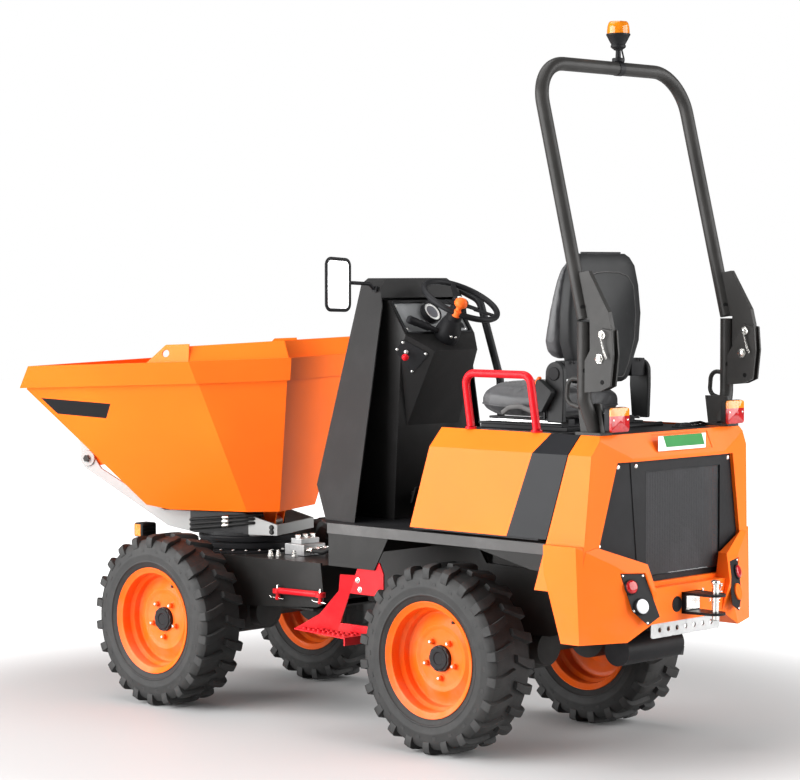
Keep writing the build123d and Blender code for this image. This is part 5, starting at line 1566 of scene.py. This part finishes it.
@dataclass
class Steering:
    """The steering wheel with its spinner knob, the shroud, the switch stalk and the column's screws."""

    radius: float = 146.0
    grip: float = 11.5
    knob_turn: float = 130.0

    def on_wheel(self, radius: float, turn: float, up: float = 0.0) -> Array:
        """Return a point of the wheel's plane, moved along the column.

        Args:
            radius: how far from the hub.
            turn: the angle in degrees.
            up: the move along the column.

        Returns:
            The point.
        """
        right, left = np.array([COLUMN_UP[2], 0.0, -COLUMN_UP[0]]), np.array([0, 1.0, 0])
        angle = radians(turn)
        return HUB + right * radius * cos(angle) + left * radius * sin(angle) + COLUMN_UP * up

    def build(self) -> None:
        """Make the pieces."""
        wheel = Builder("steering_wheel_grip")
        ring = np.array([self.on_wheel(self.radius, t) for t in np.arange(0, 360, 5)])
        wheel.sweep(ring, self.grip, 16, closed=True)
        for turn in (90, 210, 330):
            for low, high, half in ((20, 70, 17), (60, self.radius - 4, 12)):
                ends = [self.on_wheel(low, turn, -14 + low * 0.02),
                        self.on_wheel(high, turn, -14 + high * 0.09)]
                side = self.on_wheel(1, turn + 90) - self.on_wheel(0, 0)
                wheel.plate([ends[0] - side * half, ends[1] - side * half * 0.85,
                             ends[1] + side * half * 0.85, ends[0] + side * half], COLUMN_UP * 7)
        wheel.revolve([(-38, 29), (-20, 31), (-8, 33), (2, 31), (7, 24), (8.5, 0)], HUB, COLUMN_UP, 40)
        wheel.make("hand_wheel", Finish.PLASTIC, ["steering_wheel"], smooth=40, bevel=2.0)
        label = Builder("hub_blank_label")
        label.revolve([(8.2, 17), (9.2, 17), (9.4, 16)], HUB, COLUMN_UP, 32)
        label.make("hand_wheel", Finish.PALE)
        knob = Builder("spinner_knob")
        at = self.on_wheel(self.radius, self.knob_turn)
        knob.revolve([(8, 11), (24, 10), (28, 17), (33, 23), (42, 25), (52, 22.5), (60, 15), (63, 0)], at,
                     COLUMN_UP, 32)
        knob.revolve([(-12, 15), (10, 15), (12, 12)], at, COLUMN_UP, 24)
        knob.make("hand_wheel", Finish.ORANGE_PLASTIC, smooth=50)
        self.column()

    def column(self) -> None:
        """Make the shroud, the stalk and the screws on the housing."""
        shroud = Builder("column_shroud")
        shroud.revolve([(-172, 44), (-152, 49), (-138, 50), (-112, 45), (-84, 36), (-79, 31), (-60, 30),
                        (-40, 30)], HUB, COLUMN_UP, 48)
        shroud.revolve([(-200, 29.5), (-171, 29.5)], HUB, COLUMN_UP, 48)
        shroud.make(REAR, Finish.PLASTIC, ["steering_column"], smooth=40, bevel=1.0)
        stalk = Builder("switch_stalk")
        start, end = np.array([-352, 36, 1484.0]), np.array([-308, 166, 1533.0])
        run = end - start
        stalk.revolve([(0, 10), (0.30, 10), (0.36, 14.5), (0.62, 15), (0.68, 13.5), (0.72, 15.5),
                       (0.96, 15.5), (1.0, 12)], (0, 0, 0), (0, 0, 1), 28)
        points = stalk.verts[0]
        u, v = across(run)
        stalk.verts[0] = start + points[:, 2:] * run + points[:, :1] * u + points[:, 1:2] * v
        stalk.make(REAR, Finish.PLASTIC, smooth=40, bevel=0.8)
        screws = Builder("column_screws")
        for turn in (150, 172):
            side = self.on_wheel(1, turn) - HUB
            screws.dome(HUB - COLUMN_UP * 132 + side * 49.5, side, 5)
        screws.make(REAR, Finish.ZINC)


@dataclass
class Dash:
    """The recessed dash panel with its gauge, switches and screws, and the bolted plate with the red knob."""

    middle: Point = (-276.0, 0.0, 1538.5)
    outward: Point = (-127.0, 0.0, 88.0)

    def at(self, left: float, down: float, out: float = 0.0) -> Array:
        """Return a point of the dash's face.

        Args:
            left: how far to the left of its middle.
            down: how far down the slope.
            out: how far out of the face.

        Returns:
            The point.
        """
        outward = unit(self.outward)
        lower = np.cross(outward, (0, 1, 0))
        return np.asarray(self.middle) + np.array([0, left, 0]) + lower * down + outward * out

    def build(self) -> None:
        """Make every piece."""
        out = unit(self.outward)
        panel = Builder("dash_panel")
        corners = [(-174, -66), (174, -66), (174, 52), (162, 66), (-162, 66), (-174, 52)]
        panel.plate([self.at(y, d, -7.8) for y, d in corners], out * 2.0)
        panel.make(REAR, Finish.DASH, bevel=0.8)
        frame_ = Builder("dash_frame")
        path = filleted([self.at(y, d, 0.8) for y, d in ((-178, -70), (178, -70), (178, 70), (-178, 70))], 8,
                        4, closed=True)
        frame_.sweep(path, 4.2, 10, closed=True)
        frame_.make(REAR, Finish.PLASTIC, smooth=50)
        screws = Builder("dash_screws")
        for y, d in ((-160, -56), (-20, -57), (160, -56), (-160, 52), (160, 48)):
            screws.dome(self.at(y, d, -5.6), out, 4.5)
        screws.make(REAR, Finish.ZINC)
        self.gauge(out)
        self.switches(out)
        self.lever_plate()

    def gauge(self, out: Array) -> None:
        """Make the round gauge: dark bezel, pale ring with ticks and dark blank middle.

        Args:
            out: the unit vector out of the panel.
        """
        centre = self.at(0, -15)
        bezel = Builder("gauge_bezel")
        bezel.revolve([(-7, 44), (12, 44), (16.5, 42.5), (17.5, 40), (15.5, 37), (12.1, 36.5)], centre, out,
                      48)
        bezel.make(REAR, Finish.PLASTIC, smooth=40, bevel=0.8)
        ring = Builder("gauge_ring")
        ring.revolve([(12.2, 36.6), (12.8, 36.6), (12.8, 27), (12.2, 27)], centre, out, 48, closed=True)
        ring.make(REAR, Finish.PALE, smooth=20)
        face = Builder("gauge_face")
        face.revolve([(12.1, 27.4), (12.7, 27.4), (12.9, 0)], centre, out, 48)
        u, v = across(out)
        for index in range(25):
            angle = radians(-130 + index * 260 / 24 + 90)
            along = u * cos(angle) + v * sin(angle)
            side = np.cross(out, along)
            at = centre + out * 12.7
            reach = 29.5 if index % 4 == 0 else 32.0
            corners = ((reach, -0.5), (35, -0.5), (35, 0.5), (reach, 0.5))
            ring = [at + along * r + side * s for r, s in corners]
            face.plate(ring, out * 0.5)
        face.make(REAR, Finish.GAUGE, smooth=20)

    def switches(self, out: Array) -> None:
        """Make the rocker switches and the key at the right of the panel.

        Args:
            out: the unit vector out of the panel.
        """
        rocker = Builder("dash_switches")
        for index, (y, d) in enumerate(((-96, 8), (-122, 8), (-148, 8), (-122, 38), (-148, 38))):
            tip = 3.0 if index % 2 else -3.0
            for wide, high, foot, lean in ((9, 12, -5.8, 0.0), (7, 10, -2, tip)):
                corners = ((-wide, -high), (wide, -high), (wide, high), (-wide, high))
                ring = [self.at(y + a, d + b, foot) for a, b in corners]
                rocker.plate(ring, out * 4 + np.array([0, 0, lean]))
        rocker.revolve([(-6, 13), (-2, 13), (0, 11), (0, 5)], self.at(-96, 40), out, 24)
        rocker.make(REAR, Finish.PLASTIC, bevel=0.8)

    def lever_plate(self) -> None:
        """Make the plate bolted to the housing's left flank, and the lever with the red knob."""
        origin, out = np.array([-320.0, 192.0, 1475.0]), unit((-0.584, 0.792, -0.179))
        side = unit(np.cross((0, 0, 1), out))
        up = np.cross(out, side)

        def on_flank(x: float, z: float, proud: float = 0.0) -> Array:
            """Return the point of the flank's plane at x and z."""
            y = origin[1] - (out[0] * (x - origin[0]) + out[2] * (z - origin[2])) / out[1]
            return np.array([x, y, z]) + out * proud

        plate = Builder("lever_plate")
        ring = [on_flank(x, z, 0.4) for x, z in ((-311, 1458), (-281, 1418), (-320, 1326), (-384, 1404))]
        plate.plate(filleted(ring, 7, 4, closed=True), out * 3)
        plate.make(REAR, Finish.BLACK, bevel=0.8)
        bolts = Builder("lever_plate_bolts")
        for x, z in ((-309, 1446), (-288, 1420), (-373, 1404), (-323, 1338)):
            bolts.dome(on_flank(x, z, 3.2), out, 5.0)
        bolts.make(REAR, Finish.ZINC)
        knob, foot = Builder("red_knob"), on_flank(-315, 1412, 3.0)
        head = foot + out * 34 - up * 14
        knob.revolve([(-13, 0), (-11, 7), (-6, 11.5), (0, 13.5), (6, 12), (11, 7.5), (13, 0)], head, out, 24)
        knob.make(REAR, Finish.RED, smooth=60)
        rod = Builder("knob_rod")
        rod.revolve([(0, 8), (4, 8), (5, 4)], foot, out, 16)
        rod.sweep(np.array([foot + out * 3, head]), 3.2, 12)
        rod.make(REAR, Finish.ZINC)


@dataclass
class Mirror:
    """The left mirror: thin dark rim, glass that faces the driver, pale with a painted reflection, and its
    arm.
    """

    x: float = -179.0
    y: Pair = (339.0, 471.0)
    z: Pair = (1561.0, 1763.0)

    def build(self) -> None:
        """Make the pieces."""
        (y0, y1), (z0, z1) = self.y, self.z
        path = filleted([(self.x, y0 + 5, z0 + 5), (self.x, y1 - 5, z0 + 8), (self.x, y1 - 5, z1 - 3),
                         (self.x, y0 + 5, z1 - 10)], 24, 8, closed=True)
        rim = Builder("mirror_rim")
        rim.sweep(path, superellipse(6.5, 4.5, 2.5, 12), closed=True, up=(1, 0, 0))
        back = path.mean(0) + (path - path.mean(0)) * (1, 0.985, 0.985)
        end = back.mean(0) + (back - back.mean(0)) * 0.9 + (9.5, 0, 0)
        rim.grid(np.stack([back + (2, 0, 0), back + (7, 0, 0), end]), wrap_cols=True, caps=True)
        arm = filleted([(-192, 229, 1645), (-190, 250, 1664), (-182, 330, 1668), (-171, 352, 1668)], 14, 6)
        rim.sweep(arm, 7.0, 14)
        rim.box((-204, -180), (219.5, 229), (1635, 1655))
        rim.make(REAR, Finish.PLASTIC, ["mirror"], smooth=50, bevel=0.8)
        # painted reflection on the glass: a near-white colour and a glow
        glass = Builder("mirror_glass_painted_reflection")
        face = path.mean(0) + (path - path.mean(0)) * (1, 0.97, 0.975) + (-1.5, 0, 0)
        glass.plate(face, (3, 0, 0))
        glass.make(REAR, Finish.REFLECTION_GLASS, smooth=20)


# ---------------------------------------------------------------- roll-over hoop
@dataclass
class HoopHinge:
    """One hinge of the folding hoop: the pivot's nut, the lock pin with its clip, and the lanyard."""

    label: str
    post_y: float = 404.0
    half_post: float = 18.0

    def build(self) -> None:
        """Make the pieces on the post."""
        side = SIDES[self.label]
        middle = side * self.post_y
        faces = ((middle + side * self.half_post, side), (middle - side * self.half_post, -side))
        pins = Builder(f"hoop_pins_{self.label}")
        for face, way in faces:
            pins.revolve([(0, 13), (2.5, 13), (3, 8), (9, 8), (10.5, 6.5)], (-1444, face, 1498), (0, way, 0),
                         20)
            pins.revolve([(0, 17), (3, 17), (3.2, 14.5), (8, 14.5), (9.5, 13)], (-1434, face, 1417),
                         (0, way, 0), 6)
            clip = [(-1444, face + way * 7, 1489), (-1458, face + way * 9, 1484),
                    (-1466, face + way * 9, 1496), (-1452, face + way * 8, 1512),
                    (-1436, face + way * 7, 1506)]
            pins.tube(clip, 5, 1.5, 8, 4)
        pins.make(REAR, Finish.ZINC, smooth=50)
        chain = Builder(f"hoop_lanyard_{self.label}")
        face, way = faces[0] if side > 0 else faces[1]
        for index in range(10):
            t = index / 9
            at = np.array([-1448 - 22 * t, face + way * (13 - 4 * t), 1492 - 70 * t - 8 * sin(pi * t)])
            chain.link(at, (0.3, 1.0, 0.2) if index % 2 else (1.0, 0.2, 0.3), (3, 5.5), 1.0, 10)
        chain.make(REAR, Finish.ZINC, smooth=60)
        # painted shade: dark discs on the post's faces stand for the shade in its holes
        dark = Builder(f"hoop_hole_shades_{self.label}")
        for face, way in faces:
            dark.revolve([(0.05, 8), (0.5, 8)], (-1446, face, 1338), (0, way, 0), 24)
        dark.make(REAR, Finish.HOLE_SHADE)
        # painted shade: thin dark discs stand for the shade in the holes of the leg and the post
        for z, body, name in ((1590, "hoop_frame", "leg"), (1376, REAR, "post")):
            at = np.array([-1354 + max(0.0, z - 1549) * 0.25, middle, z])
            hole = Builder(f"hoop_{name}_hole_{self.label}")
            hole.revolve([(23.4, 7.5), (24.4, 7.5)], at, unit((-0.55, 0.6, 0.0)), 20)
            hole.make(body, Finish.HOLE_SHADE)


@dataclass
class SideTrim:
    """Small pieces of the superstructure: the lid's latch and the blank label."""

    label_x: float = -1450.8

    def build(self) -> None:
        """Make the pieces."""
        label = Builder("blank_label")
        x = self.label_x
        label.plate([(x, 121, 1091), (x, 121, 1143), (x, -150, 1143), (x, -150, 1091)], (0.8, 0, 0))
        label.make(REAR, Finish.PALE)
        field_ = Builder("blank_label_field")
        field_.plate([(x - 0.5, 94, 1143), (x - 0.5, -125, 1143), (x - 0.5, -144, 1103), (x - 0.5, 75, 1103)],
                     (0.6, 0, 0))
        field_.make(REAR, Finish.GREEN)
        latch = Builder("lid_latch")
        latch.box((-1330, -1300), (-290, -150), (1155.4, 1160))
        latch.box((-1326, -1304), (-230, -165), (1160, 1170))
        latch.tube([(-1315, -240, 1166), (-1315, -300, 1168), (-1312, -330, 1162)], 10, 5, 12)
        latch.make("lid", Finish.BLACK, bevel=1.2)
        nuts = Builder("lid_latch_nuts")
        for y in (-250, -282):
            nuts.bolt((-1308, y, 1160), (0, 0, 1), 6)
        nuts.make("lid", Finish.ZINC)


# ---------------------------------------------------------------- step and lock bar
@dataclass
class StepTrim:
    """What the access step carries: raised rings in the tread and two bolts in the hanger."""

    top: float = 382.0

    def build(self) -> None:
        """Make the pieces."""
        studs = Builder("step_tread_studs")
        for row in range(3):
            for column in range(9):
                t = (column + 0.5 + 0.5 * (row % 2)) / 9.5
                x = -62 - 290 * t
                y = 487 + 45 * t - row * (26 + 6 * t) - 8
                if y > 452:
                    studs.revolve([(-1, 11), (2.5, 9.5), (6.5, 7), (6.5, 4.4), (-1, 4.4)], (x, y, self.top),
                                  (0, 0, 1), 16)
        studs.make(REAR, Finish.RED, smooth=40)
        bolts = Builder("step_bolts")
        for x, z in ((-311, 578), (-322, 544)):
            bolts.bolt((x, 437.6, z), (0, 1, 0), 8)
            bolts.dome((x, 444, z), (0, 1, 0), 5)
        bolts.make(REAR, Finish.ZINC, bevel=0.4, segments=1)


@dataclass
class LockBar:
    """The stowed articulation lock: a round bar with flattened eyes, two posts and their spring clips."""

    y: float = 255.0

    def build(self) -> None:
        """Make the pieces."""
        bar = Builder("lock_bar")
        ends = ((70.0, 473.0), (306.0, 469.0))
        bar.sweep(np.array([(72, self.y, 474), (306, self.y, 470)]), 12, 20)
        for x, z in ends:
            bar.revolve([(-9, 19), (-8, 20), (8, 20), (9, 19)], (x, self.y, z), (0, 0, 1), 32)
            bar.sweep(np.array([(x, 235.4, z), (x, self.y, z)]), 8, 16)
            bar.revolve([(-34, 0), (-34, 9), (-24, 11), (-22, 8), (-8, 8)], (x, self.y, z), (0, 0, 1), 20)
        bar.make(FRONT, Finish.RED, ["articulation_lock"], smooth=40, bevel=1.5)
        clips = Builder("lock_bar_clips")
        for x, z in ends:
            clips.tube([(x - 34, self.y + 4, z - 29), (x + 34, self.y + 4, z - 27),
                        (x + 40, self.y + 6, z - 21)], 3, 2.2, 8, 4)
            clips.revolve([(-12, 6.2), (14, 6.2), (16, 4)], (x, self.y, z + 8), (0, 0, 1), 16)
        clips.make(FRONT, Finish.ZINC, smooth=50)


# ---------------------------------------------------------------- slewing ring and carrier
@dataclass
class Slewing:
    """The stacked rings under the carrier with their bolts, the valve block and the hoses."""

    ring_bolts: int = 24
    bolt_circle: float = 204.5

    def build(self) -> None:
        """Make every piece."""
        axis = np.array([SLEW_X, 0.0, 0.0])
        rings = Builder("slewing_rings")
        rings.revolve([(582.4, 183), (582.4, 214), (588, 214), (591, 211), (591, 190), (598, 190), (600, 197),
                       (618, 197), (621, 193), (621, 186), (626, 186), (628, 198), (644, 200), (649, 197),
                       (649, 183)], axis, (0, 0, 1), 96, closed=True)
        rings.make(FRONT, Finish.BLACK, smooth=25, bevel=0.8)
        bolts = Builder("slewing_ring_bolts")
        for index in range(self.ring_bolts):
            angle = index * 2 * pi / self.ring_bolts
            at = axis + np.array([cos(angle) * self.bolt_circle, sin(angle) * self.bolt_circle, 591])
            bolts.bolt(at, (0, 0, 1), 7.0, washer=False)
        bolts.make(FRONT, Finish.ZINC, bevel=0.5, segments=1)
        self.valve()
        self.hoses()

    def valve(self) -> None:
        """Make the valve block behind the ring, its unions, and the bolts at the deck's edge."""
        block = Builder("valve_block")
        block.box((360, 470), (-60, 60), (583, 628))
        block.box((385, 445), (-50, 50), (628, 650))
        block.make(FRONT, Finish.DRILLED, bevel=2.5)
        unions = Builder("valve_unions")
        for y in (-40, 0, 40):
            unions.revolve([(0, 13), (10, 13), (11, 10), (20, 10), (21, 14), (34, 14), (35, 9)],
                           (360, y, 606), (-1, 0, 0), 6)
            unions.revolve([(0, 12), (14, 12), (15, 8)], (415, y, 650), (0, 0, 1), 6)
        for x, y in ((462, 147), (440, 125), (378, 97)):
            unions.revolve([(0, 13), (6, 13), (7, 10), (18, 10), (19, 7), (26, 7)], (x, y, 582.4), (0, 0, 1),
                           6)
        unions.make(FRONT, Finish.ZINC, bevel=0.6, segments=1)
        hoses = Builder("valve_hoses")
        for y, far in ((-40, -70), (0, -34), (40, 30)):
            hoses.tube([(326, y, 606), (270, y, 606), (200, far, 640), (120, far, 600), (104, far, 588)], 34,
                       9.5, 14)
        hoses.make(FRONT, Finish.HOSE, smooth=60)

    def hoses(self) -> None:
        """Make the hoses that rise along the carrier's left cheek and turn in behind it."""
        hoses, ferrules = Builder("carrier_hoses", SKIP_FRAME), Builder("hose_ferrules", SKIP_FRAME)
        for foot, head in ((676, 706), (694, 722), (712, 736)):
            run = np.array([(160, 190, foot), (20, 190, (foot + head) / 2), (-84, 190, head - 2)], float)
            hoses.tube([(176, 168, foot - 6), *run, (-112, 178, head), (-126, 150, head)], 12, 6.5, 14)
            ferrules.revolve([(0, 8.6), (26, 8.6), (28, 7.4)], run[1], run[2] - run[1], 16)
        hoses.make("carrier", Finish.HOSE, smooth=60)
        ferrules.make("carrier", Finish.ZINC, smooth=40)


@dataclass
class CarrierTrim:
    """The carrier's tipping bosses with their bolts, and the bolts that hold its cheeks."""

    pivot: Pair = (640.0, 945.0)
    cheek: float = 178.0

    def build(self) -> None:
        """Make the pieces."""
        boss, bolts = Builder("tipping_bosses", SKIP_FRAME), Builder("tipping_bolts", SKIP_FRAME)
        for side in SIDES.values():
            at = np.array([self.pivot[0], side * self.cheek, self.pivot[1]])
            boss.revolve([(0.2, 33), (5, 33), (7, 31), (7, 0)], at, (0, side, 0), 40)
            bolts.revolve([(6.8, 15), (16, 15), (18, 12.5)], at, (0, side, 0), 6)
            for x, z in ((-190, 690), (-190, 672)):
                bolts.bolt((x, side * self.cheek, z), (0, side, 0), 8)
        boss.make("carrier", Finish.GREY, bevel=1.0)
        bolts.make("carrier", Finish.IRON, bevel=0.6, segments=1)


@dataclass
class FrontLamp:
    """One front work lamp: ribbed box, clear glass to the front and an amber lens at its outer edge."""

    label: str
    place: tuple[float, float, float] = (1085.0, 262.0, 655.0)

    def build(self) -> None:
        """Make the pieces."""
        side = SIDES[self.label]
        x, y, z = self.place * np.array([1.0, side, 1.0])
        box = Builder(f"work_lamp_case_{self.label}")
        box.plate(rounded_rectangle(x - 26, (y - 37, y + 37), (z - 29, z + 29), 9, 4), (52, 0, 0))
        for index in range(4):
            box.box((x - 30, x - 25), (y - 32, y + 32), (z - 22 + index * 14, z - 18 + index * 14))
        box.box((x - 5, x + 5), (y - 11, y + 11), (z - 108, z - 28))
        box.box((x - 20, x + 15), sorted((y + side * 12, side * 235.3)), (z - 110, z - 94))
        box.make(FRONT, Finish.PLASTIC, ["front_lamps"] if side > 0 else [], bevel=1.6)
        glass = Builder(f"work_lamp_glass_{self.label}")
        glass.plate(rounded_rectangle(x + 26, (y - 33, y + 33), (z - 25, z + 25), 7, 4), (3, 0, 0))
        glass.make(FRONT, Finish.CLEAR, bevel=1.0)
        amber = Builder(f"work_lamp_marker_{self.label}")
        amber.box((x - 14, x + 22), sorted((y + side * 36.5, y + side * 38)), (z - 24, z + 24))
        amber.make(FRONT, Finish.AMBER, bevel=0.6)


@dataclass
class TipRam:
    """The tipping ram's barrel with its gland, and its plated rod with the eye; its hose unions are not
    drawn.
    """

    base: Pair = (400.0, 735.0)
    eye: Pair = (-120.0, 694.0)

    def build(self) -> None:
        """Make the pieces, which stand for the CAD barrel and rod."""
        base = np.array([self.base[0], 0.0, self.base[1]])
        eye = np.array([self.eye[0], 0.0, self.eye[1]])
        run = unit(eye - base)
        length = float(np.linalg.norm(eye - base))
        barrel = Builder("tip_ram_barrel_tube", SKIP_FRAME)
        barrel.revolve([(14, 20), (20, 24.6), (length - 92, 24.6), (length - 90, 24.9), (length - 61, 24.9),
                        (length - 60, 15.4), (length - 90, 15.4)], base, run, 40)
        barrel.revolve([(-32.6, 23.6), (32.6, 23.6), (32.6, 12.3), (-32.6, 12.3)], base, (0, 1, 0), 36,
                       closed=True)
        barrel.make("tip_barrel", Finish.BLACK, ["tip_ram_barrel"], bevel=0.8)
        rod = Builder("tip_ram_rod_bar", SKIP_FRAME)
        rod.revolve([(62, 14.8), (length - 14, 14.8)], base, run, 36)
        rod.revolve([(-32.6, 23.6), (32.6, 23.6), (32.6, 0), (-32.6, 0)], eye, (0, 1, 0), 36)
        rod.make("tip_rod", Finish.STEEL, ["tip_ram_rod"], bevel=0.8)


# ---------------------------------------------------------------- stage
@dataclass
class Studio:
    """Pale floor, soft lamps and the camera."""

    camera_place: Point = (-6.7722, 6.8853, 1.7113)
    camera_yaw: float = -46.4
    camera_pitch: float = -2.7
    camera_roll: float = 0.06
    focal_length: float = 113.4
    floor_radius: float = 30.0
    # where the floor's painted shade round the machine gives way to white, in metres
    white_from: Pair = (1.5, 3.9)
    ambient: float = 0.16
    lamps: tuple[tuple[str, Point, Point, float, float, float], ...] = (
        ("left", (2.8, 6.6, 3.0), (0.2, 0.0, 0.9), 9.0, 6.0, 1750.0),
        ("rear", (-6.6, -3.4, 3.0), (-0.5, 0.0, 0.9), 7.0, 5.0, 820.0),
        ("top", (0.6, 0.6, 6.5), (0.0, 0.0, 0.0), 5.0, 5.0, 300.0),
    )

    def build(self) -> None:
        """Make the stage."""
        self.floor()
        self.world()
        for name, place, aim, width, height, power in self.lamps:
            self.lamp(name, place, aim, width, height, power)
        self.camera()

    def floor(self) -> None:
        """Make the pale floor, which takes shadows, with painted shade: darker and without glow near the
        machine's middle, white further out.
        """
        mesh = bpy.data.meshes.new("floor")
        t = np.linspace(0, 2 * pi, 64, endpoint=False)
        rim = np.stack([np.cos(t) * self.floor_radius, np.sin(t) * self.floor_radius, np.zeros(64)], 1)
        mesh.from_pydata(rim.tolist(), [], [list(range(64))])
        floor = bpy.data.objects.new("floor", mesh)
        bpy.context.scene.collection.objects.link(floor)
        g = Graph("floor_paint")
        seen = g.node("ShaderNodeLightPath", output="Is Camera Ray")
        far = g.node("ShaderNodeVectorMath", {"operation": "LENGTH"}, {0: g.place()},
                     "Value").step(*self.white_from)
        # painted shade: the floor's colour darkens and loses its glow towards the machine, where its shadow
        # falls
        base = g.mix(far + (g.noise(0.4, 2.0) - 0.5) * 0.04, (0.44, 0.44, 0.44), (0.80, 0.80, 0.80))
        shader = g.node("ShaderNodeBsdfPrincipled", None, {"Base Color": base, "Roughness": 0.6})
        glow = g.mix(far, (0.0, 0.0, 0.0), (0.97, 0.97, 0.97))
        shine = g.node("ShaderNodeEmission", None, {"Color": glow, "Strength": 1.0})
        both = g.node("ShaderNodeAddShader", None, {0: shader, 1: shine})
        out = g.node("ShaderNodeMixShader", None, {0: seen, 1: shader, 2: both})
        g.node("ShaderNodeOutputMaterial", None, {"Surface": out})
        mesh.materials.append(g.data)

    def world(self) -> None:
        """Make the white surroundings: plain white where they are seen, dimmer where they light."""
        world = bpy.data.worlds.new("studio")
        world.use_nodes = True
        nodes, links = world.node_tree.nodes, world.node_tree.links
        nodes.clear()
        path = nodes.new("ShaderNodeLightPath")
        mixed, out = nodes.new("ShaderNodeMixShader"), nodes.new("ShaderNodeOutputWorld")
        links.new(path.outputs["Is Camera Ray"], mixed.inputs[0])
        for socket, strength in ((1, self.ambient), (2, 1.0)):
            light = nodes.new("ShaderNodeBackground")
            light.inputs["Color"].default_value = (1, 1, 1, 1)
            light.inputs["Strength"].default_value = strength
            links.new(light.outputs[0], mixed.inputs[socket])
        links.new(mixed.outputs[0], out.inputs[0])
        bpy.context.scene.world = world

    def lamp(self, name: str, place: Point, aim: Point, width: float, height: float, power: float) -> None:
        """Hang one soft rectangular lamp that faces a point.

        Args:
            name: the lamp's name.
            place, aim: where it hangs and the point that it faces, in metres.
            width, height: its size, in metres.
            power: its power, in watts.
        """
        data = bpy.data.lights.new(name, "AREA")
        data.shape, data.size, data.size_y, data.energy = "RECTANGLE", width, height, power
        lamp = bpy.data.objects.new(name, data)
        bpy.context.scene.collection.objects.link(lamp)
        lamp.location = place
        direction = np.array(aim) - np.array(place)
        lamp.rotation_mode = "QUATERNION"
        lamp.rotation_quaternion = Vector(direction).to_track_quat("-Z", "Y")

    def camera(self) -> None:
        """Set the camera at its height and angle."""
        data = bpy.data.cameras.new("camera")
        data.lens, data.sensor_width, data.clip_end = self.focal_length, 36.0, 100.0
        camera = bpy.data.objects.new("camera", data)
        bpy.context.scene.collection.objects.link(camera)
        camera.location = self.camera_place
        camera.rotation_euler = (radians(90 + self.camera_pitch), radians(self.camera_roll),
                                 radians(self.camera_yaw - 90))
        bpy.context.scene.camera = camera


def main() -> None:
    """Build every sub-assembly in order."""
    logging.basicConfig(level=logging.INFO, format="%(message)s")
    bpy.context.scene.view_settings.view_transform = "Standard"
    Studio().build()
    dress_cad()
    for end in ENDS:
        for side in SIDES:
            Tyre(end, side).build()
            Wheel(end, side).build()
    Grille().build()
    TailTrim().build()
    for side in SIDES:
        TailLamp(side).build()
        HoopHinge(side).build()
        FrontLamp(side).build()
    for kind in (Beacon, Seat, Steering, Dash, Mirror, SideTrim, StepTrim, LockBar, Slewing, CarrierTrim,
                 TipRam):
        kind().build()


if __name__ == "__main__":
    main()
